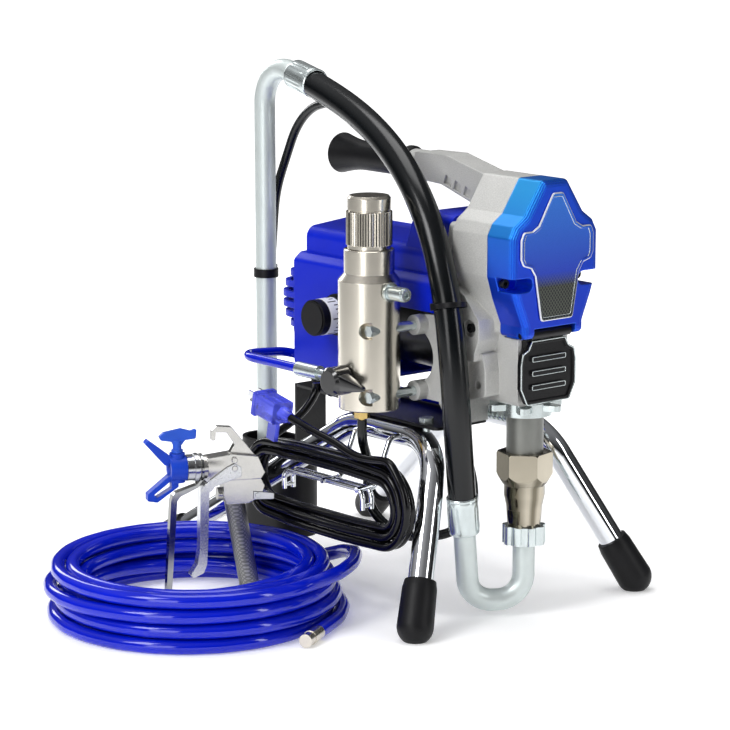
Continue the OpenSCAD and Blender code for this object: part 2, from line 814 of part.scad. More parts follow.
// Motor
module shroud_body(inset) {
    w = shroud_half_w - inset;
    extrude_x(shroud_rear + inset, shroud_front - shroud_rear - seat) offset(6) offset(-6)
        both_sides() polygon([
            [-1, shroud_ledge + 6], [w - 9, shroud_ledge + 3 - inset], [w, shroud_ledge - 4 - inset],
            [w, shroud_bottom + inset], [-1, shroud_bottom + inset]
        ]);
    extrude_x(shroud_rear + 5 + inset, shroud_front - shroud_rear - 5 - seat) offset(12) offset(-12)
        both_sides() polygon([
            [-1, shroud_top - inset], [dome_half_w - inset, shroud_top - 5 - inset],
            [dome_half_w - inset, motor_height + 12], [-1, motor_height + 12]
        ]);
    intersection() {
        extrude_y(-dome_half_w, 2 * dome_half_w) polygon([
            [-128 + inset, shroud_shoulder], [-116 + inset, shroud_peak - 12 - inset],
            [-98, shroud_peak - inset], [shroud_front + inset - seat, shroud_peak - inset],
            [shroud_front + inset - seat, shroud_shoulder]
        ]);
        extrude_x(-140, 110) offset(10) offset(-10) both_sides() polygon([
            [-1, shroud_peak + 1 - inset], [47 - inset, shroud_peak - 1 - inset],
            [50 - inset, shroud_shoulder - 20], [-1, shroud_shoulder - 20]
        ]);
    }
}
module motor_shroud() color(blue_plastic) on_machine() difference() {
    shroud_body(0);
    shroud_body(shroud_wall);
    // the motor shows under the front half on both sides
    translate([shroud_cut_x, -100, shroud_bottom - 20])
        cube([-shroud_cut_x, 200, shroud_cut_z - shroud_bottom + 20]);
    along_x(shroud_rear - 1, 0, motor_height, 43, 10);
    along_y(knob_x, -shroud_half_w - 1, knob_z, 4 + run_fit, 10);
    along_y(switch_x, -shroud_half_w - 1, switch_z, 4.7, 10);
    translate([gland_x, gland_y, shroud_bottom - 1]) cylinder(r = 6 + run_fit, h = 6);
}

// The grille's outline at a height above its middle, seen from above
module grille_outline(dz, inset) {
    full = 1 - pow(dz / grille_half_h, 2);
    r = (grille_half_w - inset) * pow(full, 0.22);
    depth = (grille_depth - inset) * pow(full, 0.4);
    polygon([for (a = [0:12:180])
        [-depth * pow(abs(sin(a)), 0.7), r * sign(cos(a)) * pow(abs(cos(a)), 0.5)]]);
}
module fan_grille() color(blue_plastic) on_machine() translate([shroud_rear - seat, 0, 0]) {
    pitch = (2 * grille_half_h - 3 - grille_bar_h) / (grille_bars - 1);
    difference() {
        extrude_x(-3, 3) translate([0, motor_height]) offset(12) offset(-12)
            square([2 * grille_half_w - 2, 2 * grille_half_h], center = true);
        along_x(-4, 0, motor_height, grille_half_h - 5, 5);
    }
    for (i = [0:grille_bars - 1]) {
        dz = (i - (grille_bars - 1) / 2) * pitch;
        translate([-1, 0, motor_height + dz - grille_bar_h / 2]) linear_extrude(grille_bar_h)
            difference() {
                grille_outline(dz, 0);
                grille_outline(dz, 5);
            }
    }
    // the rib behind the bars
    extrude_y(-2, 4) difference() {
        grille_side(2);
        grille_side(7);
    }
}
module grille_side(inset) translate([-1, motor_height]) polygon([
    for (a = [0:12:180])
        [-(grille_depth - inset) * pow(abs(sin(a)), 0.8), (grille_half_h - 1) * cos(a)]
]);

module cooling_fan() color(black_plastic) on_machine()
    translate([fan_x, 0, motor_height]) rotate([0, 90, 0]) difference() {
        union() {
            cylinder(r = 12, h = 14);
            for (i = [0:8]) rotate([0, 0, 40 * i])
                translate([10, 0, 7]) rotate([35, 0, 0]) translate([0, -1.2, -7])
                    cube([28, 2.4, 14]);
        }
        translate([0, 0, -1]) cylinder(r = shaft_r + 0.01, h = 16);
    }

module motor_can() color(black_plastic) on_machine() difference() {
    along_x(can_rear, 0, motor_height, motor_d / 2, motor_length);
    along_x(can_rear + 14, 0, motor_height, motor_d / 2 - motor_wall, motor_length);
    along_x(can_rear + 5, 0, motor_height, 11 + run_fit, 20);
    along_x(can_rear - 1, 0, motor_height, shaft_r + 1, 20);
}

module motor_rotor() color(steel) on_machine() {
    along_x(fan_x - 2, 0, motor_height, shaft_r, gear_x + gear_w + 1 - fan_x + 2);
    along_x(can_rear + 26, 0, motor_height, motor_d / 2 - motor_wall - 8, motor_length - 62);
    along_x(bulkhead_rear - 30, 0, motor_height, 16, 20);
    along_x(gear_x, 0, motor_height, pinion_r - 0.1, gear_w);
}

module ring_x(x, z, outer, inner, w) difference() {
    along_x(x, 0, z, outer, w);
    along_x(x - 1, 0, z, inner, w + 2);
}
module bearings() color(steel) on_machine() {
    ring_x(bulkhead_rear + 4, crank_height, 16, crank_shaft_r + run_fit, 11);
    ring_x(bulkhead_rear + 4, motor_height, 13, shaft_r + run_fit, 11);
    ring_x(can_rear + 5, motor_height, 11, shaft_r + run_fit, 8);
}

module crank_gear() color(steel) on_machine() {
    along_x(bulkhead_rear + 5, 0, crank_height, crank_shaft_r, gear_x - bulkhead_rear - 5);
    difference() {
        along_x(gear_x, 0, crank_height, gear_r - 0.1, gear_w);
        for (a = [60:60:300]) translate([gear_x - 1, 0, crank_height])
            rotate([a, 0, 0]) translate([0, 0, 25]) rotate([0, 90, 0])
                cylinder(r = 7, h = gear_w + 2);
    }
    along_x(crank_disc_x, 0, crank_height, crank_throw + crank_pin_r + 2, crank_disc_w);
    along_x(crank_pin_x, 0, crank_height + crank_throw, crank_pin_r, 16);
}

module connecting_rod() color(nickel) on_machine() difference() {
    union() {
        along_x(crank_pin_x + 1.5, 0, crank_height + crank_throw, rod_big_end_r, 13);
        along_x(crank_pin_x + 1.5, 0, rod_small_end_z, rod_small_end_r, 13);
        extrude_x(crank_pin_x + 3, 10) polygon([
            [-7, rod_small_end_z], [7, rod_small_end_z],
            [10, crank_height + crank_throw - 9], [-10, crank_height + crank_throw - 9]
        ]);
    }
    along_x(crank_pin_x, 0, crank_height + crank_throw, crank_pin_r + run_fit, 20);
    along_x(crank_pin_x, 0, rod_small_end_z, 3.5, 20);
}

// Pump
module pump_rod() color(steel) on_machine() difference() {
    union() {
        translate([0, 0, rod_bottom]) cylinder(d = rod_d, h = rod_top - rod_bottom);
        translate([0, 0, rod_bottom]) cylinder(r = piston_r, h = 12);
    }
    along_x(-20, 0, rod_top - 7, 3.5, 40);
}

module pump_cylinder() color(cast_grey) on_machine() difference() {
    translate([0, 0, cylinder_bottom]) cylinder(d = cylinder_d, h = cylinder_top - cylinder_bottom);
    translate([0, 0, cylinder_bottom - 1])
        cylinder(r = piston_r + run_fit, h = cylinder_top - 20 - cylinder_bottom + 1);
    translate([0, 0, cylinder_top - 21]) cylinder(r = 13 + run_fit, h = 22);
    along_x(-30, 0, outlet_z, 5.5, 30 - piston_r + 4);
}

module pump_packings() color(black_rubber) on_machine()
    for (z = [cylinder_top - 21 + seat, cylinder_top - 12 + 2 * seat])
        translate([0, 0, z]) difference() {
            cylinder(r = 13, h = 9);
            translate([0, 0, -1]) cylinder(r = rod_d / 2 + run_fit, h = 11);
        }

module jam_nut() color(zinc) on_machine()
    translate([0, 0, jam_nut_z]) difference() {
        union() {
            cylinder(r = 27, h = jam_nut_t);
            for (a = [15:60:375]) rotate([0, 0, a]) hull() {
                translate([20, 0, 6]) cylinder(r = 9, h = jam_nut_t - 7.5, $fn = 32);
                translate([jam_nut_r - 6, 0, 6]) cylinder(r = 6, h = jam_nut_t - 7.5, $fn = 32);
            }
        }
        translate([0, 0, -1]) cylinder(r = cylinder_d / 2 + run_fit, h = jam_nut_t + 2);
    }

module intake_housing() color(nickel) on_machine() difference() {
    union() {
        intersection() {
            translate([0, 0, intake_hex_bottom + 2]) rotate([0, 0, 44])
                cylinder(d = intake_hex_d, h = intake_top - intake_hex_bottom - 2, $fn = 6);
            rotate_extrude() polygon([
                [0, intake_hex_bottom], [21, intake_hex_bottom],
                [intake_hex_d / 2 + 0.5, intake_hex_bottom + 13],
                [intake_hex_d / 2 + 0.5, intake_top - 2.5], [intake_hex_d / 2 - 2, intake_top + 1],
                [0, intake_top + 1]
            ]);
        }
        rotate_extrude() polygon([
            [0, intake_bottom], [nut_thread_r, intake_bottom], [nut_thread_r, 94], [17, 98],
            [18, 112], [20.5, 124], [20.5, intake_hex_bottom], [24, intake_hex_bottom + 6],
            [24, intake_top - 1], [0, intake_top - 1]
        ]);
    }
    // wrench flats
    for (a = [-85, 95]) rotate([0, 0, a]) translate([15.6, -20, 95]) cube([10, 40, 14]);
    translate([0, 0, intake_bottom - 1]) cylinder(r = 9, h = ball_seat_z - intake_bottom - 4);
    translate([0, 0, intake_bottom]) cylinder(r = ball_seat_r, h = 40);
    translate([0, 0, ball_seat_z]) cylinder(r = intake_ball_d / 2 + 3, h = 34);
    translate([0, 0, ball_seat_z + 33]) cylinder(r = piston_r + 1, h = 40);
}

module intake_ball() color(chrome) on_machine()
    translate([0, 0, ball_z]) sphere(d = intake_ball_d);

module suction_nut() color(zinc) on_machine()
    translate([0, 0, nut_bottom]) difference() {
        linear_extrude(nut_h) difference() {
            circle(r = 21.5);
            for (a = [0:40:320]) rotate(a) translate([24.5, 0]) circle(r = 5.5);
        }
        translate([0, 0, -1]) cylinder(r = tube_d / 2 + slip, h = nut_h + 2);
        translate([0, 0, intake_bottom - nut_bottom - 0.3])
            cylinder(r = nut_thread_r + run_fit, h = nut_h);
    }

// Suction set
module lower_suction_tube() color(chrome) on_machine()
    bent_tube(lower_tube_points, [0, 26, 26, 0], tube_d / 2, tube_d / 2 - tube_wall);

module drop_tube() color(chrome) on_machine()
    bent_tube(drop_tube_points, [0, 40, 0], tube_d / 2, tube_d / 2 - tube_wall);

module suction_hose() color(black_rubber) on_machine()
    bent_tube(suction_points, suction_bends, hose_r_s, hose_bore_r);

module hose_ferrules() color(zinc) on_machine()
    for (f = [[drop_hose_end, drop_dir], [lower_hose_end, lower_dir]]) difference() {
        union() {
            rod_between(f[0] - 2 * f[1], f[0] + ferrule_length * f[1], hose_r_s + ferrule_wall);
            for (t = [4, 18, 30])
                rod_between(f[0] + t * f[1], f[0] + (t + 2.4) * f[1], hose_r_s + ferrule_wall + 0.5);
        }
        rod_between(f[0], f[0] + (ferrule_length + 1) * f[1], hose_r_s + run_fit);
        rod_between(f[0] - 3 * f[1], f[0] + f[1], tube_d / 2 + run_fit);
    }

module inlet_strainer() color(black_plastic) on_machine()
    translate([drop_x + 2, drop_y, cup_bottom + cup_wall + seat]) difference() {
        union() {
            cylinder(r = 17, h = 6);
            cylinder(r = 14, h = 44);
        }
        translate([0, 0, 58 - cup_bottom - cup_wall - seat - 0.3])
            cylinder(r = tube_d / 2 + slip, h = 40);
        translate([0, 0, 3]) cylinder(r = 9, h = 40);
        for (a = [0:45:315]) rotate([0, 0, a]) translate([8, -2, 9]) cube([10, 4, 18]);
    }

// Lays a flat shape across direction d at a, its x axis toward b
module across(a, b, d) {
    z = unit(d);
    x = unit((b - a) - ((b - a) * z) * z);
    y = cross(z, x);
    multmatrix([
        [x[0], y[0], z[0], a[0]],
        [x[1], y[1], z[1], a[1]],
        [x[2], y[2], z[2], a[2]],
        [0, 0, 0, 1]
    ])
        children();
}
module cable_ties() color(black_plastic) on_machine() {
    // a strap holds the drain tube to the suction hose
    across(tie_hose, tie_drain, [-0.214, 0.081, 0.973]) translate([0, 0, -2.5]) {
        gap = norm(tie_drain - tie_hose) - 0.6;
        linear_extrude(5) difference() {
            hull() {
                circle(r = hose_r_s + 1.8);
                translate([gap, 0]) circle(r = drain_tube_d / 2 + 2.4);
            }
            hull() {
                circle(r = hose_r_s + 0.4);
                translate([gap, 0]) circle(r = drain_tube_d / 2 + 1);
            }
        }
        translate([-1.5, hose_r_s + 1.2, -1]) cube([7, 5, 7]);
    }
    // a clip holds it to the drop tube
    translate([clip_x, drop_y, clip_z]) difference() {
        gap = [drain_clip[0] - clip_x, drain_clip[1] - drop_y, 0];
        union() {
            cylinder(r = tube_d / 2 + 2.2, h = 9);
            translate(gap) cylinder(r = drain_tube_d / 2 + 2.2, h = 9);
            rotate([0, 0, atan2(gap[1], gap[0])]) translate([0, -2, 0]) cube([norm(gap), 4, 9]);
        }
        translate([0, 0, -1]) cylinder(r = tube_d / 2 + 0.4, h = 11);
        translate([gap[0], gap[1], -1]) cylinder(r = drain_tube_d / 2 + 0.5, h = 11);
    }
}

// Manifold
module manifold_body() color(nickel) on_machine() difference() {
    translate([manifold_x, manifold_y, 0]) rotate_extrude() polygon([
        [0, manifold_bottom], [manifold_r - 1, manifold_bottom], [manifold_r, manifold_bottom + 1],
        [manifold_r, manifold_shoulder], [25, manifold_shoulder + 7],
        [25, manifold_neck_top - 1], [24, manifold_neck_top], [0, manifold_neck_top]
    ]);
    on_bore() {
        translate([0, 0, manifold_bottom + 14]) cylinder(r = 15, h = 200);
        translate([0, 0, manifold_neck_top - 14]) cylinder(r = 19, h = 20);
    }
    for (z = manifold_bolt_z) {
        along_y(manifold_bolt_x, manifold_y - 40, z, manifold_bolt_d / 2 + run_fit, 80);
        along_y(manifold_bolt_x, manifold_y - 40, z, 8.5, 40 - 17);
    }
    // flat below the prime valve, and the ports
    translate([manifold_x - 40, manifold_y - 40, manifold_bottom - 1]) rotate([0, 0, 50])
        translate([0, -50, 0]) cube([11.5, 100, 22]);
    along_y(manifold_x, manifold_y - 40, prime_z, 7.5 + run_fit, 40);
    along_x(manifold_x - 40, manifold_y, whip_z, 6 + run_fit, 26);
    along_x(manifold_x + 18, manifold_y, transducer_z, 7 + run_fit, 20);
    translate([manifold_x, drain_y, manifold_bottom - 1]) cylinder(r = 5 + run_fit, h = 13);
}
module on_bore() translate([manifold_x, manifold_y, 0]) children();

module filter_cap() color(nickel) on_manifold() {
    r = filter_cap_d / 2;
    translate([0, 0, manifold_neck_top - 13]) cylinder(r = 19 - run_fit, h = 17.2);
    translate([0, 0, manifold_neck_top + seat]) cylinder(r = 21.5, h = 4);
    translate([0, 0, filter_cap_bottom]) linear_extrude(33)
        polygon([for (i = [0:87]) (r + 0.4 - (i % 2) * 0.9)
            * [cos(i * 360 / 88), sin(i * 360 / 88)]]);
    translate([0, 0, filter_cap_bottom + 33]) rotate_extrude() polygon([
        [0, 0], [r - 2, 0], [r - 2, 1.5], [r - 1, 2], [r - 1, 13], [r - 3, 15.5], [0, 15.5]
    ]);
}

module filter_element() color(steel) on_manifold() {
    low = manifold_bottom + 14.3;
    h = manifold_neck_top - 13 - seat - low;
    difference() {
        translate([0, 0, low]) cylinder(d = filter_d, h = h);
        translate([0, 0, low + 4]) cylinder(d = filter_d - 5, h = h);
    }
}

module pressure_transducer() color(zinc) on_machine() difference() {
    union() {
        along_x(manifold_x + 20, manifold_y, transducer_z, 7, 12);
        along_x(manifold_x + manifold_r, manifold_y, transducer_z, 9.5, 3.5);
        along_x(manifold_x + manifold_r + 3, manifold_y, transducer_z, 7.2, 20);
        along_x(manifold_x + manifold_r + 9, manifold_y, transducer_z, 6.2, 16.5);
    }
    translate([manifold_x + manifold_r + 20.5, manifold_y, transducer_z]) rotate([0, 90, 0])
        cylinder(d = 7, h = 8, $fn = 6);
}

module prime_valve() color(nickel) on_machine() {
    along_y(manifold_x, prime_hub_rear, prime_z, 7.5, 15);
    along_y(manifold_x, prime_face_y + 3, prime_z, 4, prime_hub_rear - prime_face_y - 2);
}

module prime_handle() color(black_plastic) on_machine() {
    r = prime_hub_d / 2;
    h = prime_hub_rear - seat - prime_face_y;
    difference() {
        union() {
            translate([manifold_x, prime_hub_rear - seat, prime_z]) rotate([90, 0, 0])
                rotate_extrude()
                    polygon([[0, 0], [r - 1, 0], [r, 1], [r, h - 3], [r - 3, h], [0, h]]);
            hull() {
                along_y(manifold_x + 4, prime_face_y + 3, prime_z, r - 4.5, 14);
                along_y(manifold_x + 40, prime_face_y + 8, prime_z - 2, 2.5, 5);
            }
        }
        along_y(manifold_x, prime_face_y + 3 - seat, prime_z, 4 + run_fit, 40);
    }
}

module drain_fitting() color(brass) on_machine() translate([manifold_x, drain_y, 0]) {
    translate([0, 0, manifold_bottom - 0.2]) cylinder(r = 5, h = 10);
    translate([0, 0, drain_hex_z]) cylinder(d = 16, h = manifold_bottom - 0.2 - drain_hex_z, $fn = 6);
    difference() {
        translate([0, 0, drain_hex_z - 12]) cylinder(d = drain_tube_d - 3.1, h = 13);
        translate([0, 0, drain_hex_z - 13]) cylinder(d = 4, h = 12);
    }
}

module drain_tube() color(black_plastic) on_machine()
    bent_tube(drain_points, drain_bends, drain_tube_d / 2, drain_tube_d / 2 - 1.5);

module whip_hose() color(bright_blue) on_machine()
    bent_tube(whip_points, whip_bends, whip_hose_d / 2, 3);

module whip_fittings() color(zinc) on_machine() {
    near = whip_points[0][0];
    far = whip_points[len(whip_points) - 1][0];
    along_x(manifold_x - 38, manifold_y, whip_z, 6, 22);
    translate([manifold_x - 46, manifold_y, whip_z]) rotate([0, 90, 0])
        cylinder(d = 17, h = 12, $fn = 6);
    along_x(near, manifold_y, whip_z, 5.2, manifold_x - 45 - near);
    along_x(near - 14, manifold_y, whip_z, 2.9, 15);
    ring_at(near - 31, manifold_y, whip_z, 7.6, whip_hose_d / 2 + run_fit, 31);
    ring_at(near, manifold_y, whip_z, 7.6, 5.1, 3);
    // the ribbed outlet on the pump
    along_x(far, 0, outlet_z, 5.2, -far - 16);
    for (i = [0:5]) along_x(-58 + 6.5 * i, 0, outlet_z, 6.4, 3.4);
    along_x(far - 14, 0, outlet_z, 2.9, 15);
    ring_at(far - 24, 0, outlet_z, 6.4, whip_hose_d / 2 + run_fit, 24);
    ring_at(far, 0, outlet_z, 6.4, 5.1, 3);
}
module ring_at(x, y, z, outer, inner, w) difference() {
    along_x(x, y, z, outer, w);
    along_x(x - 1, y, z, inner, w + 2);
}

// Controls
module pressure_knob() color(black_plastic) on_machine() {
    y = -shroud_half_w - seat;
    along_y(knob_x, y - 6, knob_z, knob_d / 2 + 3, 6);
    along_y(knob_x, y - knob_length + 2, knob_z, knob_d / 2, knob_length - 8);
    along_y(knob_x, y - knob_length, knob_z, knob_d / 2 - 1.5, 2.5);
    along_y(knob_x, y - 1, knob_z, 4, 12);
}

module power_switch() color(steel) on_machine()
    translate([switch_x, -shroud_half_w + 1.5, switch_z]) difference() {
        union() {
            sphere(r = 4.6);
            rotate([90 - switch_tilt, 0, 0]) cylinder(r1 = 1.8, r2 = 2.6, h = 18);
        }
        // bore for its pivot pin
        along_x(-6, 0, 0, 0.8, 12);
    }

module cord_gland() color(black_rubber) on_machine() translate([gland_x, gland_y, 0]) {
    translate([0, 0, shroud_bottom - 3]) cylinder(r = 6, h = 8);
    translate([0, 0, shroud_bottom - 5 - seat]) cylinder(r = 9, h = 5);
    translate([0, 0, 204]) cylinder(r1 = 5.5, r2 = 7, h = shroud_bottom - 208.5);
}

// Power cord
function hank_point(a) =
    let (done = (a - hank_start_angle) / 360, half = hank_loops / 2,
         inward = done < half ? done : hank_loops - done,
         climb = min(1, max(0, (done - half + 0.25) / 0.5)))
        [
            hank_x + (hank_a - hank_b) * max(-1, min(1, cos(a) / 0.31))
                + (hank_b - hank_pitch * inward) * cos(a),
            hank_back_y - hank_layer * climb,
            hank_z + (hank_b - hank_pitch * inward) * sin(a)
        ];
hank_steps = ceil(hank_loops * 24);
hank_loop_points = [for (i = [0:hank_steps])
    hank_point(hank_start_angle + 360 * hank_loops * i / hank_steps)];
hank_in = unit(hank_loop_points[1] - hank_loop_points[0]);
hank_out = unit(hank_loop_points[hank_steps] - hank_loop_points[hank_steps - 1]);
hank_first = hank_loop_points[0] - cord_d * hank_in;
hank_last = hank_loop_points[hank_steps] + cord_d * hank_out;
hank_path = concat([hank_first], hank_loop_points, [hank_last]);

module cord_hank() color(black_rubber) on_machine() swept_cord(hank_path, cord_d / 2, 6, [0, 1, 0]);

lead_path = concat(smooth(concat(cord_lead_points, [hank_first - 8 * hank_in]), 3), [hank_first]);
tail_path = concat([hank_last], smooth(concat([hank_last + 8 * hank_out], cord_tail_points,
    [plug_rear + [0.5, 0, -0.1]]), 3));
module cord_runs() color(black_rubber) on_machine() {
    swept_cord(lead_path, cord_d / 2, 8, [1, 0, 0]);
    swept_cord(tail_path, cord_d / 2, 8, [0, 1, 0]);
}

module power_plug() color([0.25, 0.32, 0.85]) on_machine()
    translate(plug_rear) rotate([0, 180 + plug_rise, 0]) {
        rotate([0, 90, 0]) cylinder(r1 = 5.2, r2 = 7.5, h = 14);
        translate([13.5, 0, 0]) rotate([0, 90, 0]) linear_extrude(30) offset(4)
            square([15, 18], center = true);
        translate([43, 0, 0]) rotate([0, 90, 0]) linear_extrude(4) offset(3)
            square([20, 22], center = true);
        for (side = [-1, 1]) translate([46, side * 6.35 - 0.8, -8]) cube([17, 1.6, 6.4]);
        translate([46, 0, 5]) rotate([0, 90, 0]) cylinder(r = 2.4, h = 19);
        translate([18, -2.5, 9]) cube([13, 5, 24]);
    }

// Spray hose
function coil_place(r, a, z) =
    let (c = r * cos(a - coil_turn) * coil_stretch, s = r * sin(a - coil_turn))
        [
            coil_x + c * cos(coil_turn) - s * sin(coil_turn),
            coil_y + c * sin(coil_turn) + s * cos(coil_turn),
            z
        ];
coil_total = coil_layers * coil_loops_per_layer;
function coil_point(done) =
    let (layer = min(coil_layers - 1, floor(done / coil_loops_per_layer)),
         within = done - layer * coil_loops_per_layer,
         inward = layer % 2 == 0 ? within : coil_loops_per_layer - within,
         nearest = round(done / coil_loops_per_layer),
         step = nearest > 0 && nearest < coil_layers
            ? min(0.5, max(-0.5, 2 * (done - nearest * coil_loops_per_layer))) + nearest - 0.5
            : nearest == 0 ? 0 : coil_layers - 1)
        coil_place(coil_r - coil_pitch * inward - 2.4 * step, coil_start + 360 * done,
            spray_hose_d / 2 + coil_layer * step);
coil_steps = ceil(coil_total * coil_rings);
coil_loop_points = [for (i = [0:coil_steps]) coil_point(coil_total * i / coil_steps)];
coil_end_angle = coil_start + 360 * coil_total;
// the free end leaves the top layer outward and comes down behind the coil
coil_tail_points = [for (i = [1:7])
    let (f = i / 7, out = min(1, 2.2 * f), down = max(0, (f - 0.4) / 0.6))
        coil_place(coil_r - 2.4 * (coil_layers - 1) + out * (coil_pitch + 9), coil_end_angle + 100 * f,
            spray_hose_d / 2 + coil_layer * (coil_layers - 1) * (1 - down * down * (3 - 2 * down)))];
coil_in = unit(coil_loop_points[1] - coil_loop_points[0]);
coil_flat = coil_tail_points[6] - coil_tail_points[5];
coil_out = unit([coil_flat[0], coil_flat[1], 0]);
coil_first = coil_loop_points[0] - spray_hose_d * coil_in;
coil_last = coil_tail_points[6] + spray_hose_d * coil_out;
coil_path = concat([coil_first], coil_loop_points, coil_tail_points, [coil_last]);

module spray_hose() color(bright_blue) on_machine() difference() {
    swept_cord(coil_path, spray_hose_d / 2, 6, [0, 0, 1]);
    translate([coil_x - 200, coil_y - 200, -10]) cube([400, 400, 10]);
}

module hose_couplings() color(nickel) on_machine()
    for (end = [[coil_first, -coil_in], [coil_last, coil_out]]) {
        rod_between(end[0], end[0] + 22 * end[1], spray_hose_d / 2);
        rod_between(end[0] + 21 * end[1], end[0] + 34 * end[1], spray_hose_d / 2 - 0.6);
    }

// The least gap of each wound form to itself, over points more than a third of a loop apart
function least_gap(p, d, skip) =
    min([for (i = [0:len(p) - 1 - skip]) min([for (j = [i + skip:len(p) - 1]) norm(p[i] - p[j])])]) - d;
echo(cord_hank_gap = least_gap(hank_path, cord_d, 9));
echo(spray_hose_gap = least_gap(coil_path, spray_hose_d, 9));

// Gun
module gun_body() color([0.75, 0.75, 0.74]) on_gun() {
    h = gun_bore_height;
    w = gun_body_w;
    difference() {
        union() {
            hull() {
                scale([1, 0.8, 1]) cylinder(r = 10.5, h = 1, $fn = 32);
                translate([handle_lean, 0, h - 38]) scale([1, 0.8, 1])
                    cylinder(r = 10.5, h = 1, $fn = 32);
            }
            extrude_y(-9, 18) offset(1.5) offset(-1.5) polygon([
                [4, h - 39], [27, h - 39], [30, h - 31], [30, h - 12], [-8, h - 12],
                [-13, h - 22], [-9, h - 33]
            ]);
            extrude_y(-w / 2, w) offset(1.5) offset(-1.5) polygon([
                [-13, h - 8], [-9, h - 14], [42, h - 14], [47, h - 10], [47, h + 10],
                [20, h + 13], [-6, h + 9]
            ]);
            // the hook that hangs the gun on a pail
            extrude_y(-4, 8) offset(1) offset(-1) polygon([
                [-7, h + 6], [20, h + 40], [35, h + 41.5], [41, h + 37], [41, h + 27],
                [37, h + 27], [36.5, h + 35], [25, h + 34.5], [17, h + 22], [24, h + 10]
            ]);
            translate([46, 0, h]) rotate([0, 90, 0]) cylinder(r = 12, h = 8);
            translate([46, 0, h]) rotate([0, 90, 0]) cylinder(r = 9, h = 20);
            // the hose inlet in front of the handle
            translate([28, 0, h - 29]) rotate([0, 90, 0]) cylinder(r = 6.5, h = 7);
            for (z = [trigger_pin_z, trigger_pin_z + 8.5])
                translate([trigger_pin_x, -w / 2 - 3, z]) rotate([-90, 0, 0])
                    cylinder(r = 2.8, h = w + 6);
        }
        translate([-30, 0, h]) rotate([0, 90, 0]) cylinder(r = 2.5, h = 120);
        translate([lock_x, -30, lock_z]) rotate([-90, 0, 0]) cylinder(r = 2.5 + run_fit, h = 60);
    }
}

module trigger() color([0.80, 0.80, 0.80]) on_gun() {
    h = gun_bore_height;
    y = gun_body_w / 2 + seat;
    difference() {
        for (side = [-1, 1]) translate([0, side * (y + 0.8) - 0.8, 0])
            extrude_y(0, 1.6) offset(2) offset(-2) polygon([
                [12, h - 10], [12, h - 0.5], [19, h + 3.6], [27, h], [50, h - 16], [53, h - 24],
                [44, h - 24], [40, h - 19]
            ]);
        translate([trigger_pin_x, -30, trigger_pin_z]) rotate([-90, 0, 0])
            cylinder(r = 2.8 + run_fit, h = 60);
        // slot that lets the upper pin stop the trigger's travel
        translate([trigger_pin_x - 6, -30, trigger_pin_z + 5]) cube([12, 60, 12]);
    }
    extrude_y(-y - 1.6, 2 * y + 3.2) polygon([
        [44, h - 17.5], [52, h - 17.5], [52.5, h - 24], [44, h - 24]
    ]);
    extrude_y(-6.5, 13) offset(1.5) offset(-1.5) polygon([
        [44, h - 18], [53.5, h - 18], [55, 52], [57.5, 36], [65, 25], [61, 22.5], [51, 27],
        [47.5, 36], [46.3, 54]
    ]);
}

module trigger_guard() color(steel) on_gun() {
    h = gun_bore_height;
    translate([50.8, 0, h]) rotate([0, 90, 0]) difference() {
        cylinder(r = 14, h = 2.4);
        translate([0, 0, -1]) cylinder(r = 12 + run_fit, h = 5);
    }
    extrude_y(-5, 10) polygon([
        [50.8, h - 13], [53.2, h - 13], [57, h - 17.5], [78, h - 24], [82, h - 27],
        [84, h - 33], [guard_x + 1.2, 2.4], [guard_x + 1.2, 0], [12, 0], [12, 2.2],
        [guard_x - 4.4, 2.2], [77.5, h - 33], [74, h - 28.5], [57, h - 21], [50.8, h - 15.8]
    ]);
}

module trigger_lock() color(steel) on_gun() {
    for (side = [-1, 1]) translate([0, side * 10.1 - 0.8, 0]) extrude_y(0, 1.6)
        polygon([
            [lock_x + 4, lock_z - 4], [lock_x + 4, lock_z + 4], [-22, lock_z + 1],
            [-22, lock_z - 5]
        ]);
    extrude_y(-10.9, 21.8) polygon([
        [-22, lock_z - 5], [-17, lock_z - 5], [-17, lock_z + 1.5], [-22, lock_z + 1]
    ]);
    translate([lock_x, -12, lock_z]) rotate([-90, 0, 0]) cylinder(r = 2.5, h = 24);
}

module retaining_nut() color(nickel) on_gun()
    translate([54.3, 0, gun_bore_height]) rotate([0, 90, 0]) difference() {
        union() {
            cylinder(d = tip_nut_d, h = 13);
            translate([0, 0, 1.5]) cylinder(d = tip_nut_d + 2.5, h = 4, $fn = 16);
        }
        translate([0, 0, -1]) cylinder(r = 9 + run_fit, h = 20);
    }

module tip_guard() color(bright_blue) on_gun() {
    h = gun_bore_height;
    difference() {
        union() {
            translate([67.6, 0, h]) rotate([0, 90, 0]) cylinder(r = 13, h = 17);
            translate([tip_key_x, 0, h - 14]) cylinder(r = 8, h = 30);
            extrude_y(-5.5, 11) offset(1) offset(-1) polygon([
                [77, h + 6], [84, h + 14], [107, h + 32], [110, h + 28], [90, h + 5], [84, h + 3]
            ]);
            extrude_y(-5.5, 11) difference() {
                offset(1) offset(-1) polygon([
                    [76, h - 6], [84, h - 5], [108, h - 24], [108, h - 31], [98, h - 33], [76, h - 18]
                ]);
                offset(1) polygon([[84, h - 13], [100, h - 25], [98, h - 27], [84, h - 19]]);
            }
        }
        translate([tip_key_x, 0, h - 40]) cylinder(r = tip_barrel_d / 2 + run_fit, h = 80);
        translate([60, 0, h]) rotate([0, 90, 0]) cylinder(r = 3, h = 40);
        translate([78, 0, h]) rotate([0, 90, 0]) cylinder(r1 = 4, r2 = 9, h = 8);
    }
}

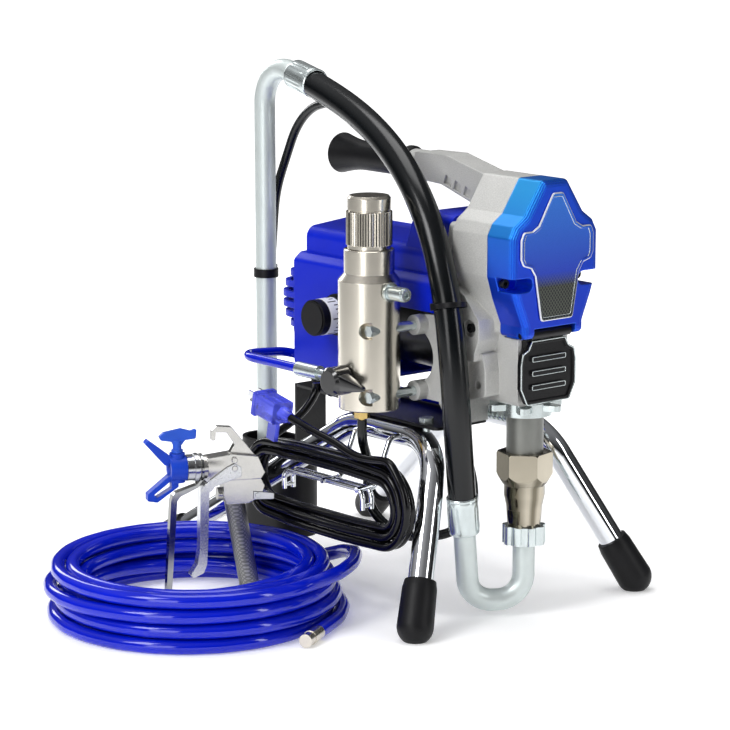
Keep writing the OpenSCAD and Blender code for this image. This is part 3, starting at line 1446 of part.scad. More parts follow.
module spray_tip() color([0.15, 0.35, 0.85]) on_gun() {
    h = gun_bore_height;
    difference() {
        translate([tip_key_x, 0, h - 13]) cylinder(d = tip_barrel_d, h = 42);
        translate([60, 0, h]) rotate([0, 90, 0]) cylinder(r = 1.2, h = 40);
    }
    translate([tip_key_x, 0, h + 16.3]) cylinder(r = 6, h = 3);
    extrude_y(-2.5, 5) offset(1.2) offset(-1.2) polygon([
        [72, h + 24], [68, h + 29], [57, h + 30], [56, h + 40], [62, h + 38], [72, h + 41],
        [90, h + 38], [95, h + 34], [93, h + 30], [82, h + 28], [80, h + 24]
    ]);
}

// One call for each node
left_frame_tube();
right_frame_tube();
frame_plate();
rubber_feet();
zinc_bolts();
cord_wrap();
drip_cup();
drive_housing();
handle_arm();
handle_grip();
front_cover();
face_panel();
black_screws();
pump_door();
motor_shroud();
fan_grille();
cooling_fan();
motor_can();
motor_rotor();
bearings();
crank_gear();
connecting_rod();
pump_rod();
pump_cylinder();
pump_packings();
jam_nut();
intake_housing();
intake_ball();
whip_fittings();
suction_nut();
lower_suction_tube();
suction_hose();
hose_ferrules();
drop_tube();
inlet_strainer();
cable_ties();
manifold_body();
filter_cap();
filter_element();
pressure_transducer();
prime_valve();
prime_handle();
drain_fitting();
drain_tube();
whip_hose();
pressure_knob();
power_switch();
cord_gland();
cord_runs();
cord_hank();
power_plug();
spray_hose();
hose_couplings();
gun_body();
trigger();
trigger_guard();
trigger_lock();
tip_guard();
retaining_nut();
spray_tip();
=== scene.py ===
import math

import bpy
import bmesh
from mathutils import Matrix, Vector


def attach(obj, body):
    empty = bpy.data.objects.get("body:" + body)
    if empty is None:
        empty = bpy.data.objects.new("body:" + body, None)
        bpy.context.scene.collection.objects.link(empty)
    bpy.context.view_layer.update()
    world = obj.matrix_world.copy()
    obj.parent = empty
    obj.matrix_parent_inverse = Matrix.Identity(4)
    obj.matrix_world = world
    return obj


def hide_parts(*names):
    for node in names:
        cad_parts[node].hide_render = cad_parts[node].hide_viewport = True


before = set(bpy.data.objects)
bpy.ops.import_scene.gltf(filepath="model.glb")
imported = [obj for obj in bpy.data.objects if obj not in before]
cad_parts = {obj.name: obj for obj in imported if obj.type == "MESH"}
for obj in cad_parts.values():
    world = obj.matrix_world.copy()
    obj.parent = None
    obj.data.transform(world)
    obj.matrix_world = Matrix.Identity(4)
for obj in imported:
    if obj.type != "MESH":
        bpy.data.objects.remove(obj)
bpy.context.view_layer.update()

# ---------------------------------------------------------------- places
# The source lays the machine out from the pump's axis, in millimetres.
PUMP_X = 195.84
PUMP_Y = 45.85


def at(x, y, z):
    """A point of the machine, in millimetres, in the model's metres."""
    return Vector(((x + PUMP_X) / 1000, (y + PUMP_Y) / 1000, z / 1000))


# ---------------------------------------------------------------- camera
LENS = 147.95
SENSOR = 36
CAMERA_AT = (2.31484, -1.93845, 0.8118)
CAMERA_TILT = math.radians(79.1)
CAMERA_AZIMUTH = math.radians(50)

camera_data = bpy.data.cameras.new("camera")
camera_data.lens = LENS
camera_data.sensor_width = SENSOR
camera_data.clip_end = 60
camera = bpy.data.objects.new("camera", camera_data)
camera.location = CAMERA_AT
camera.rotation_euler = (CAMERA_TILT, 0, CAMERA_AZIMUTH)
bpy.context.scene.collection.objects.link(camera)
bpy.context.scene.camera = camera


# ---------------------------------------------------------------- node trees
EDGE_SAMPLES = 6
EDGE_FLAT, EDGE_ROUND = 0.995, 0.85


class Tree:
    """The nodes of a material or of the world. A socket is fed by a value or by another node."""

    def __init__(self, owner):
        owner.use_nodes = True
        self.nodes = owner.node_tree.nodes
        self.links = owner.node_tree.links
        self.nodes.clear()

    def add(self, kind, operation=None):
        node = self.nodes.new(kind)
        if operation:
            node.operation = operation
        return node

    def feed(self, socket, value):
        if isinstance(value, bpy.types.NodeSocket):
            self.links.new(value, socket)
        else:
            socket.default_value = value

    def feed_all(self, node, values):
        for socket_name, value in values.items():
            self.feed(node.inputs[socket_name], value)

    def position(self):
        """Object coordinates."""
        return self.add("ShaderNodeTexCoord").outputs["Object"]

    def split(self, vector):
        """The X, Y and Z of a vector."""
        node = self.add("ShaderNodeSeparateXYZ")
        self.feed(node.inputs["Vector"], vector)
        return [node.outputs[axis] for axis in "XYZ"]

    def noise(self, vector, scale, detail=3, rough=0.5):
        node = self.add("ShaderNodeTexNoise")
        self.feed_all(node, {"Vector": vector, "Scale": scale, "Detail": detail, "Roughness": rough})
        return node.outputs["Fac"]

    def ramp(self, value, low, high, a, b):
        """Maps value from low..high to a..b, and stops at both ends."""
        node = self.add("ShaderNodeMapRange")
        self.feed_all(node, {"Value": value, "From Min": low, "From Max": high, "To Min": a, "To Max": b})
        return node.outputs["Result"]

    def mix(self, factor, a, b):
        """A mix of two colours, each a tuple or a socket."""
        node = self.add("ShaderNodeMix")
        node.data_type = "RGBA"
        self.feed(node.inputs["Factor"], factor)
        for socket_name, colour in (("A", a), ("B", b)):
            socket = [s for s in node.inputs if s.name == socket_name and s.type == "RGBA"][0]
            self.feed(socket, (*colour, 1) if isinstance(colour, tuple) else colour)
        return [s for s in node.outputs if s.type == "RGBA"][0]

    def maths(self, operation, *values):
        node = self.add("ShaderNodeMath", operation)
        for socket, value in zip(node.inputs, values):
            self.feed(socket, value)
        return node.outputs["Value"]

    def measure(self, operation, *vectors):
        """A number from one or two vectors."""
        node = self.add("ShaderNodeVectorMath", operation)
        for socket, vector in zip(node.inputs, vectors):
            self.feed(socket, vector)
        return node.outputs["Value"]

    def facing(self, axis):
        """How squarely the surface faces along a fixed axis, from -1 to 1."""
        return self.measure("DOT_PRODUCT", self.add("ShaderNodeNewGeometry").outputs["Normal"], axis)

    def rounded_edges(self, radius):
        """The rounded normal, and a mask of the edges that it rounds."""
        bevel = self.add("ShaderNodeBevel")
        bevel.samples = EDGE_SAMPLES
        bevel.inputs["Radius"].default_value = radius
        normal = bevel.outputs["Normal"]
        return normal, self.ramp(self.facing(normal), EDGE_FLAT, EDGE_ROUND, 0.0, 1.0)


# ---------------------------------------------------------------- finishes
PATCHES = (0.3, 0.7)
SPECKLES = (0.35, 0.65)
ROUGHNESS = (0.25, 0.75)
GRAIN_DEPTH = 0.0004
# How much lighter the edges are painted: partly wear, partly a painted edge highlight.
WORN_AND_HIGHLIT_BRIGHTER = 1.6


def new_material(name):
    mat = bpy.data.materials.new(name)
    tree = Tree(mat)
    shader = tree.add("ShaderNodeBsdfPrincipled")
    tree.feed(tree.add("ShaderNodeOutputMaterial").inputs["Surface"], shader.outputs["BSDF"])
    return mat, tree, shader


def scaled(colour, f):
    return tuple(min(1.0, max(0.0, c * f)) for c in colour)


def surface(name, colour, metallic=0.0, rough=0.4, spread=0.1, vary=0.1, blotch=25, grain=900,
            bump=0.1, round_edge=0.0006, wear_and_highlight=0.15, wear_and_highlight_colour=None, coat=0.0, coat_rough=0.1,
            transmission=0.0, ior=1.5, specular=0.5, speckle=0.0, pattern=None):
    """A finish: colour that varies over the surface, grain, and softened edges painted lighter, partly as
    wear and partly as a painted highlight.
    """
    mat, tree, shader = new_material(name)
    place = tree.position()
    patches = tree.noise(place, blotch, detail=4, rough=0.55)
    fine = tree.noise(place, grain, detail=2, rough=0.6)
    relief = tree.add("ShaderNodeBump")
    base = tree.mix(tree.ramp(patches, *PATCHES, 0, 1), scaled(colour, 1 - vary), scaled(colour, 1 + vary))
    if speckle:
        base = tree.mix(tree.ramp(fine, *SPECKLES, 0, 1), scaled(colour, 1 - speckle), base)
    if pattern:
        base = pattern(tree, base)
    if round_edge:
        normal, edge = tree.rounded_edges(round_edge)
        # The rounded edges are painted lighter: partly wear, partly a painted highlight along the edges.
        worn_and_highlit = tree.maths("MULTIPLY", tree.maths("MULTIPLY", edge, fine), wear_and_highlight * 2)
        base = tree.mix(worn_and_highlit, base, wear_and_highlight_colour or scaled(colour, WORN_AND_HIGHLIT_BRIGHTER))
        tree.feed(relief.inputs["Normal"], normal)
    tree.feed_all(relief, {"Strength": bump, "Distance": GRAIN_DEPTH, "Height": fine})
    tree.feed_all(shader, {
        "Base Color": base,
        "Roughness": tree.ramp(fine, *ROUGHNESS, max(0.02, rough - spread), min(1, rough + spread)),
        "Normal": relief.outputs["Normal"],
        "Metallic": metallic,
        "Coat Weight": coat,
        "Coat Roughness": coat_rough,
        "Transmission Weight": transmission,
        "IOR": ior,
        "Specular IOR Level": specular,
    })
    return mat


# ---------------------------------------------------------------- patterns of single finishes
# A fixed level axis, to the machine's right as the photograph shows it.
# Painted side shade of some finishes is laid along this axis.
SIDEWAYS = (0.643, 0.766, 0.0)


def crossed_lines(tree, across, up, lean, pitch, line, blur):
    """1 on two sets of slanting lines that cross, and 0 between them."""
    lines = []
    for sign in (1, -1):
        slant = tree.maths("ADD", across, tree.maths("MULTIPLY", up, sign * lean))
        lines.append(tree.ramp(tree.maths("PINGPONG", slant, pitch), line, blur, 1.0, 0.0))
    return tree.maths("MAXIMUM", *lines)


def panel_print(tree, base):
    """The panel: blue that deepens downward, then black with a diamond mesh."""
    black_top, blue_low, blue_high = 0.338, 0.352, 0.425
    _, y, z = tree.split(tree.position())
    y = tree.maths("SUBTRACT", y, PUMP_Y / 1000)
    mesh = crossed_lines(tree, z, y, lean=1.25, pitch=0.0024, line=0.0003, blur=0.0007)
    black = tree.mix(mesh, (0.006, 0.007, 0.010), (0.10, 0.115, 0.085))
    height = tree.ramp(z, blue_low, blue_high, 0.0, 1.0)
    blue = tree.mix(height, (0.008, 0.05, 0.55), (0.03, 0.20, 0.78))
    return tree.mix(tree.ramp(z, black_top, blue_low, 0.0, 1.0), black, blue)


def cover_lacquer_and_highlight(tree, base):
    """Metallic lacquer, darker low down, with a painted azure highlight where the cover faces up and to
    its left, strongest high up.
    """
    highlight_facing = (-0.05, -0.72, 0.69)
    _, _, z = tree.split(tree.position())
    deep = tree.mix(tree.ramp(z, 0.30, 0.40, 0.75, 0.0), base, (0.003, 0.03, 0.60))
    lit = tree.ramp(tree.facing(highlight_facing), 0.50, 0.97, 0.0, 0.95)
    high = tree.ramp(z, 0.34, 0.43, 0.10, 1.0)
    # Painted highlight: the azure colour on faces turned up and to the left.
    return tree.mix(tree.maths("MULTIPLY", lit, high), deep, (0.02, 0.42, 0.95))


def grip_lozenge_shade(tree, base):
    """Rows of small upright lozenges pressed into the gun's grip, drawn only as painted shade in the
    grooves between them.
    """
    groove_shade_strength = 0.7
    x, y, z = tree.split(tree.position())
    across = tree.maths("ADD", x, tree.maths("MULTIPLY", y, -0.6))
    grooves = crossed_lines(tree, across, z, lean=0.45, pitch=0.0009, line=0.00015, blur=0.0005)
    return tree.mix(tree.maths("MULTIPLY", grooves, groove_shade_strength), base, (0.09, 0.09, 0.09))


def cap_knurl_shade(tree, base):
    """Fine upright knurls on the filter cap's band, drawn as painted shade in their grooves."""
    axis = at(-106, -112, 0)
    band_low, band_high = 0.3730, 0.4050
    knurls = 52
    x, y, z = tree.split(tree.position())
    turn = tree.maths("ARCTAN2", tree.maths("SUBTRACT", y, axis.y), tree.maths("SUBTRACT", x, axis.x))
    line = tree.ramp(tree.maths("PINGPONG", turn, math.pi / knurls), 0.012, 0.034, 1, 0)
    above, below = tree.maths("GREATER_THAN", z, band_low), tree.maths("LESS_THAN", z, band_high)
    band = tree.maths("MULTIPLY", above, below)
    return tree.mix(tree.maths("MULTIPLY", line, band), base, (0.035, 0.032, 0.028))


def painted_side_shade(tree, base):
    """Painted shade on faces that turn to one side and below."""
    side = tree.ramp(tree.facing(SIDEWAYS), -0.95, -0.55, 0.75, 0.0)
    below = tree.ramp(tree.facing((0.3, -0.25, -0.92)), 0.2, 0.9, 0.0, 0.6)
    # The dark colour is painted shade.
    return tree.mix(tree.maths("MAXIMUM", side, below), base, (0.07, 0.07, 0.065))


def painted_facet_shade(tree, base):
    """Plated faces with painted shade: dark to one side, and in a narrow band to the other."""
    band_middle = 0.45
    sideways = tree.facing(SIDEWAYS)
    from_band = tree.maths("ABSOLUTE", tree.maths("SUBTRACT", sideways, band_middle))
    side = tree.ramp(sideways, -0.42, 0.06, 0.90, 0.0)
    band = tree.ramp(from_band, 0.06, 0.26, 0.75, 0.0)
    # The dark colour is painted shade.
    return tree.mix(tree.maths("MAXIMUM", side, band), base, (0.07, 0.06, 0.035))


# ---------------------------------------------------------------- palette
CHROME = (0.80, 0.82, 0.85)
ALUMINIUM = (0.63, 0.69, 0.68)
ZINC = (0.60, 0.66, 0.66)
NICKEL = (0.66, 0.62, 0.54)
CAST = (0.62, 0.62, 0.60)
BLUE = (0.001, 0.014, 0.50)
METALLIC_BLUE = (0.004, 0.08, 0.80)
BLACK = (0.004, 0.004, 0.005)
RUBBER = (0.005, 0.005, 0.006)
HOSE_BLUE = (0.0005, 0.010, 0.50)
# A pale edge colour, for wear and for a painted edge highlight.
BRIGHT_WEAR_AND_HIGHLIGHT = (0.8, 0.8, 0.8)

FINISHES = {
    "chrome": surface(
        "chrome_plate", CHROME, 1, 0.07, 0.01, 0.03, grain=100, bump=0.0, round_edge=0),
    "aluminium": surface(
        "satin_aluminium", ALUMINIUM, 0.45, 0.40, 0.04, 0.05, blotch=40, grain=500, bump=0.04,
        round_edge=0),
    "zinc": surface(
        "zinc_plate", ZINC, 0.85, 0.24, 0.02, 0.08, blotch=50, grain=150, bump=0.0, round_edge=0.0004),
    "nickel": surface(
        "brushed_nickel", NICKEL, 1, 0.24, 0.02, 0.03, blotch=40, grain=120, bump=0.0,
        round_edge=0.0004),
    "knurled": surface(
        "knurled_nickel", NICKEL, 1, 0.24, 0.02, 0.03, blotch=40, grain=120, bump=0.0,
        round_edge=0.0003, pattern=cap_knurl_shade),
    "faceted": surface(
        "faceted_nickel", (0.46, 0.42, 0.34), 1, 0.14, 0.02, 0.05, blotch=40, grain=120, bump=0.0,
        round_edge=0.0008, pattern=painted_facet_shade),
    "satin": surface(
        "satin_silver", (0.72, 0.74, 0.76), 0.6, 0.42, 0.02, 0.03, grain=200, bump=0.0, round_edge=0),
    "steel": surface(
        "machined_steel", (0.50, 0.51, 0.53), 1, 0.20, 0.02, 0.05, blotch=50, grain=150, bump=0.0,
        round_edge=0.0003),
    "guard_steel": surface(
        "guard_steel", (0.36, 0.37, 0.37), 1, 0.14, 0.03, 0.05, blotch=60, grain=300, bump=0.0,
        round_edge=0.0004, pattern=painted_side_shade),
    "brass": surface(
        "brass", (0.72, 0.52, 0.20), 1, 0.24, 0.07, 0.08, blotch=60, grain=900, bump=0.06),
    "pump_grey": surface(
        "pump_grey", (0.20, 0.205, 0.19), 0.4, 0.36, 0.04, 0.06, blotch=60, grain=900, bump=0.05),
    "cast_grey": surface(
        "cast_aluminium", CAST, 0.40, 0.45, 0.08, 0.05, blotch=35, grain=1100, bump=0.9,
        round_edge=0.0016, wear_and_highlight=0.3, wear_and_highlight_colour=BRIGHT_WEAR_AND_HIGHLIGHT, speckle=0.22),
    "gun_silver": surface(
        "gun_cast_silver", (0.66, 0.65, 0.62), 0.9, 0.22, 0.04, 0.06, blotch=60, grain=1500, bump=0.10,
        round_edge=0.0010, wear_and_highlight=0.3, wear_and_highlight_colour=BRIGHT_WEAR_AND_HIGHLIGHT, pattern=painted_side_shade),
    "gun_grip": surface(
        "gun_handle_texture", (0.36, 0.36, 0.34), 0.8, 0.34, 0.05, 0.06, blotch=60, grain=1200,
        bump=0.6, round_edge=0.0012, wear_and_highlight=0.3, wear_and_highlight_colour=BRIGHT_WEAR_AND_HIGHLIGHT, pattern=grip_lozenge_shade),
    "trigger_silver": surface(
        "trigger_silver", (0.62, 0.63, 0.64), 0.9, 0.26, 0.05, 0.05, blotch=60, grain=900, bump=0.08,
        round_edge=0.0008, wear_and_highlight=0.2, wear_and_highlight_colour=BRIGHT_WEAR_AND_HIGHLIGHT),
    "metallic_blue": surface(
        "metallic_blue", METALLIC_BLUE, 0.7, 0.32, 0.04, 0.08, blotch=12, grain=2600, bump=0.05,
        round_edge=0.0020, wear_and_highlight=0.2, wear_and_highlight_colour=(0.03, 0.34, 0.95), coat=0.35, coat_rough=0.12,
        pattern=cover_lacquer_and_highlight),
    "panel": surface(
        "face_panel_finish", (0.006, 0.10, 0.90), 0.35, 0.30, 0.05, 0.05, grain=2200, bump=0.04,
        round_edge=0.0008, wear_and_highlight=0.1, coat=0.5, coat_rough=0.08, pattern=panel_print),
    "blue_plastic": surface(
        "blue_plastic", BLUE, 0, 0.38, 0.05, 0.08, blotch=9, grain=1700, bump=0.20,
        round_edge=0.0015, wear_and_highlight=0.10, wear_and_highlight_colour=(0.02, 0.08, 0.7), specular=0.22),
    "guard_blue": surface(
        "guard_blue", (0.006, 0.055, 0.55), 0, 0.42, 0.05, 0.12, blotch=40, grain=1500, bump=0.15,
        round_edge=0.0010, wear_and_highlight=0.25, wear_and_highlight_colour=(0.05, 0.18, 0.7), specular=0.3),
    "tip_blue": surface(
        "tip_blue", (0.02, 0.10, 0.62), 0, 0.38, 0.05, 0.12, blotch=40, grain=1500, bump=0.12,
        round_edge=0.0010, wear_and_highlight=0.25, wear_and_highlight_colour=(0.12, 0.28, 0.8), specular=0.3),
    "plug_blue": surface(
        "clear_blue_plug", (0.14, 0.17, 0.95), 0, 0.12, 0.03, 0.1, blotch=60, grain=900, bump=0.05,
        transmission=0.65, ior=1.40, round_edge=0.0008),
    "blue_hose": surface(
        "blue_hose", HOSE_BLUE, 0, 0.11, 0.02, 0.12, blotch=14, grain=500, bump=0.015, round_edge=0,
        specular=0.48),
    "black_plastic": surface(
        "black_plastic", BLACK, 0, 0.42, 0.06, 0.2, blotch=30, grain=1500, bump=0.10,
        round_edge=0.0010, wear_and_highlight=0.12, wear_and_highlight_colour=(0.03, 0.03, 0.04), specular=0.22),
    "gloss_black": surface(
        "gloss_black", BLACK, 0, 0.14, 0.03, 0.1, grain=700, bump=0.03, round_edge=0.0016, wear_and_highlight=0.1,
        coat=0.8, coat_rough=0.06),
    "black_paint": surface(
        "black_paint", BLACK, 0, 0.30, 0.05, 0.15, blotch=25, grain=1400, bump=0.04,
        round_edge=0.0010, wear_and_highlight=0.12, wear_and_highlight_colour=(0.05, 0.05, 0.06), specular=0.3),
    "black_rubber": surface(
        "black_rubber", RUBBER, 0, 0.46, 0.08, 0.2, blotch=40, grain=900, bump=0.20,
        round_edge=0.0012, wear_and_highlight=0.15, wear_and_highlight_colour=(0.03, 0.03, 0.03), specular=0.22),
    "black_hose": surface(
        "black_hose", (0.002, 0.003, 0.004), 0, 0.20, 0.05, 0.2, blotch=18, grain=1300, bump=0.14,
        round_edge=0, specular=0.38, speckle=0.3),
    "cord_black": surface(
        "cord_black", (0.002, 0.002, 0.003), 0, 0.17, 0.03, 0.2, blotch=40, grain=800, bump=0.03,
        round_edge=0, specular=0.30),
    "white_band": surface(
        "white_band", (0.86, 0.87, 0.87), 0, 0.45, 0.05, 0.03, blotch=60, grain=900, bump=0.05),
}

# ---------------------------------------------------------------- finishes of the CAD nodes
NODES_BY_FINISH = {
    "chrome": ["left_frame_tube", "right_frame_tube", "cord_wrap", "pump_rod", "intake_ball",
               "power_switch"],
    "aluminium": ["lower_suction_tube", "drop_tube"],
    "zinc": ["zinc_bolts", "jam_nut", "whip_fittings", "suction_nut", "hose_ferrules",
             "pressure_transducer"],
    "nickel": ["manifold_body", "prime_valve", "hose_couplings"],
    "knurled": ["filter_cap"],
    "faceted": ["intake_housing"],
    "steel": ["motor_rotor", "bearings", "crank_gear", "connecting_rod", "filter_element",
              "trigger_lock", "retaining_nut"],
    "guard_steel": ["trigger_guard"],
    "brass": ["drain_fitting"],
    "pump_grey": ["pump_cylinder"],
    "cast_grey": ["drive_housing", "handle_arm"],
    "gun_silver": ["gun_body"],
    "trigger_silver": ["trigger"],
    "metallic_blue": ["front_cover"],
    "panel": ["face_panel"],
    "blue_plastic": ["motor_shroud", "fan_grille"],
    "guard_blue": ["tip_guard"],
    "tip_blue": ["spray_tip"],
    "plug_blue": ["power_plug"],
    "blue_hose": ["whip_hose", "spray_hose"],
    "black_plastic": ["drip_cup", "cooling_fan", "inlet_strainer", "cable_ties", "pressure_knob"],
    "gloss_black": ["prime_handle"],
    "black_paint": ["frame_plate", "black_screws", "pump_door", "motor_can"],
    "black_rubber": ["rubber_feet", "handle_grip", "pump_packings", "cord_gland"],
    "black_hose": ["suction_hose", "drain_tube"],
    "cord_black": ["cord_runs", "cord_hank"],
}
WELD_DISTANCE = 0.00001
SHARP_ANGLE = math.radians(32)


def finish_node(part, finish):
    """One finish over a whole CAD node, shaded smooth between its sharp edges."""
    part.data.materials.clear()
    part.data.materials.append(FINISHES[finish])
    for face in part.data.polygons:
        face.material_index = 0
        face.use_smooth = True
    part.modifiers.new("weld", "WELD").merge_threshold = WELD_DISTANCE
    part.modifiers.new("edges", "EDGE_SPLIT").split_angle = SHARP_ANGLE


def refinish(node_name, finish, wanted):
    """Gives the faces of a CAD node whose centre, in millimetres, is wanted a second finish."""
    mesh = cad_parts[node_name].data
    mesh.materials.append(FINISHES[finish])
    for face in mesh.polygons:
        if wanted(face.center * 1000):
            face.material_index = 1


for finish, node_names in NODES_BY_FINISH.items():
    for node_name in node_names:
        finish_node(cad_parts[node_name], finish)

GRIP_TOP = 98
PLUG_REAR = (-198, -138, 187)
PLUG_RISE = math.radians(12)
PLUG_PRONGS = 47.2
plug_start = at(*PLUG_REAR) * 1000
plug_along = Vector((-math.cos(PLUG_RISE), 0, math.sin(PLUG_RISE)))
refinish("gun_body", "gun_grip", lambda c: c.z < GRIP_TOP)
refinish("power_plug", "chrome", lambda c: (c - plug_start).dot(plug_along) > PLUG_PRONGS)


# ---------------------------------------------------------------- piece makers
def mesh_piece(name, verts, faces, finish, body="machine", smooth=30):
    """A mesh that rides on a body."""
    mesh = bpy.data.meshes.new(name)
    mesh.from_pydata([tuple(v) for v in verts], [], faces)
    bm = bmesh.new()
    bm.from_mesh(mesh)
    bmesh.ops.recalc_face_normals(bm, faces=bm.faces)
    bm.to_mesh(mesh)
    bm.free()
    for face in mesh.polygons:
        face.use_smooth = True
    mesh.set_sharp_from_angle(angle=math.radians(smooth))
    obj = bpy.data.objects.new(name, mesh)
    bpy.context.scene.collection.objects.link(obj)
    obj.data.materials.append(FINISHES[finish])
    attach(obj, body)
    return obj


def sweep(points, radius, sides, cyclic):
    """Rings of a round tube along points, and the faces between them."""
    count = len(points)
    verts, faces = [], []
    side = None
    for i, p in enumerate(points):
        before = points[i - 1] if i or cyclic else p
        after = points[(i + 1) % count] if i < count - 1 or cyclic else p
        ahead = (after - before).normalized()
        side = ahead.orthogonal() if side is None else side - ahead * side.dot(ahead)
        side = side.normalized()
        other = ahead.cross(side)
        for k in range(sides):
            a = 2 * math.pi * k / sides
            verts.append(p + radius * (math.cos(a) * side + math.sin(a) * other))
    for i in range(count if cyclic else count - 1):
        j = (i + 1) % count
        for k in range(sides):
            m = (k + 1) % sides
            faces.append((i * sides + k, i * sides + m, j * sides + m, j * sides + k))
    if not cyclic:
        faces.append(tuple(reversed(range(sides))))
        faces.append(tuple(range((count - 1) * sides, count * sides)))
    return verts, faces


def tube(name, points, radius, finish, body="machine", cyclic=False, sides=12):
    """A round tube along points, already in metres."""
    verts, faces = sweep(points, radius, sides, cyclic)
    return mesh_piece(name, verts, faces, finish, body, smooth=50)


def turned(name, profile, start, axis, finish, sides=96, ripple=None, body="machine"):
    """A closed profile of (radius, height) in millimetres, turned round an axis. ripple(i) is added
    to the radius at side i of those marked with a third value."""
    z = Vector(axis).normalized()
    x = z.orthogonal().normalized()
    y = z.cross(x)
    verts, faces = [], []
    count = len(profile)
    for i in range(sides):
        a = 2 * math.pi * i / sides
        outward = math.cos(a) * x + math.sin(a) * y
        for radius, height, *marked in profile:
            r = radius + (ripple(i) if ripple and marked else 0)
            verts.append(start + (outward * r + z * height) / 1000)
    for i in range(sides):
        j = (i + 1) % sides
        for k in range(count):
            m = (k + 1) % count
            faces.append((i * count + k, j * count + k, j * count + m, i * count + m))
    return mesh_piece(name, verts, faces, finish, body)


# ---------------------------------------------------------------- lines and outlines
def smooth_through(points, steps):
    """A Catmull-Rom curve through the points."""
    out = []
    n = len(points)
    for i in range(n - 1):
        a, b, c, d = (Vector(points[k]) for k in (max(i - 1, 0), i, i + 1, min(i + 2, n - 1)))
        for s in range(steps):
            t = s / steps
            out.append(0.5 * (2 * b + (c - a) * t + (2 * a - 5 * b + 4 * c - d) * t * t
                              + (3 * b - a - 3 * c + d) * t ** 3))
    out.append(Vector(points[-1]))
    return out


def relaxed(points, passes):
    """The same line with its small kinks eased, its ends kept."""
    p = list(points)
    for _ in range(passes):
        p = [p[0]] + [(p[i - 1] + 2 * p[i] + p[i + 1]) / 4 for i in range(1, len(p) - 1)] + [p[-1]]
    return p


def evenly(points, step):
    """Points spaced evenly along a line."""
    out, left = [points[0]], step
    for a, b in zip(points, points[1:]):
        d = (b - a).length
        while d > left:
            a = a + (b - a) * (left / d)
            out.append(a)
            d = (b - a).length
            left = step
        left -= d
    out.append(points[-1])
    return out


def rounded_corners(points, radius, steps=5):
    """A closed outline with its corners rounded."""
    out = []
    n = len(points)
    for i in range(n):
        a, b, c = Vector(points[i - 1]), Vector(points[i]), Vector(points[(i + 1) % n])
        u, v = (a - b), (c - b)
        if u.length < 1e-6 or v.length < 1e-6:
            continue
        turn = math.pi - u.angle(v)
        cut = min(radius * math.tan(turn / 2), 0.45 * u.length, 0.45 * v.length)
        p, q = b + u.normalized() * cut, b + v.normalized() * cut
        for s in range(steps + 1):
            t = s / steps
            out.append((1 - t) ** 2 * p + 2 * t * (1 - t) * b + t * t * q)
    return out


def mirrored(points):
    """A closed outline from its right half, (y, z), top to bottom."""
    return points + [(-y, z) for y, z in reversed(points)]


# ---------------------------------------------------------------- power cord
CORD_D = 8.6
CORD_STEP = 5
CORD_CURVE_STEPS = 3
CORD_EASING = 2
HANK_STRAIGHT = 8
HANK = dict(loops=4.65, rings=24, x=-155, z=118, a=129, b=46, squareness=0.31, back_y=-121,
            pitch=9.6, layer=9.4, crossing=0.5, end=50)
GLAND_FACE = (-262, -52, 202.4)
LEAD = [GLAND_FACE, (-262, -52, 194), (-266, -68, 172), (-274, -94, 154), (-281, -112, 142)]
TAIL = [(-98, -133, 163), (-130, -135, 172), (-163, -138, 179.5)]
PLUG_ENTRY = (PLUG_REAR[0] + 0.5, PLUG_REAR[1], PLUG_REAR[2] - 0.1)
hank_start = HANK["end"] - 360 * HANK["loops"]


def hank_point(angle):
    """The hank winds inward at the back, crosses over, and winds outward in front."""
    done = (angle - hank_start) / 360
    half = HANK["loops"] / 2
    inward = done if done < half else HANK["loops"] - done
    forward = min(1, max(0, (done - half + HANK["crossing"] / 2) / HANK["crossing"]))
    c, s = math.cos(math.radians(angle)), math.sin(math.radians(angle))
    short = HANK["b"] - HANK["pitch"] * inward
    return Vector((
        HANK["x"] + (HANK["a"] - HANK["b"]) * max(-1, min(1, c / HANK["squareness"])) + short * c,
        HANK["back_y"] - HANK["layer"] * forward,
        HANK["z"] + short * s,
    ))


hank_steps = math.ceil(HANK["loops"] * HANK["rings"])
loops = [hank_point(hank_start + 360 * HANK["loops"] * i / hank_steps) for i in range(hank_steps + 1)]
hank_in = (loops[1] - loops[0]).normalized()
hank_out = (loops[-1] - loops[-2]).normalized()
hank_first = loops[0] - CORD_D * hank_in
hank_last = loops[-1] + CORD_D * hank_out
lead_curve = LEAD + [tuple(hank_first - HANK_STRAIGHT * hank_in)]
tail_curve = [tuple(hank_last + HANK_STRAIGHT * hank_out)] + TAIL + [PLUG_ENTRY]
lead = smooth_through(lead_curve, CORD_CURVE_STEPS) + [hank_first]
tail = [hank_last] + smooth_through(tail_curve, CORD_CURVE_STEPS)
cord_line = relaxed(evenly(lead + loops + tail, CORD_STEP), CORD_EASING)
cord_points = [at(*p) for p in cord_line]
power_cord = tube("power_cord", cord_points, CORD_D / 2000, "cord_black", sides=16)
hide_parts("cord_runs", "cord_hank")

# ---------------------------------------------------------------- spray hose
HOSE_D = 14.5
HOSE_STEP = 8
HOSE_EASING = 2
COIL = dict(x=-214, y=-249, turn=140, stretch=1.075, r=150, pitch=HOSE_D + 0.7, layer=HOSE_D + 0.7,
            taper=2.4, layers=4, per_layer=2.25, rings=24, start=20)
COIL_TAIL = dict(rings=7, turn=100, out=9, out_rate=2.2, level=0.4)


def coil_place(r, angle, z):
    """A point round the coil, which is a little longer than wide."""
    turn = math.radians(COIL["turn"])
    a = math.radians(angle) - turn
    c, s = r * math.cos(a) * COIL["stretch"], r * math.sin(a)
    return Vector((COIL["x"] + c * math.cos(turn) - s * math.sin(turn),
                   COIL["y"] + c * math.sin(turn) + s * math.cos(turn), z))


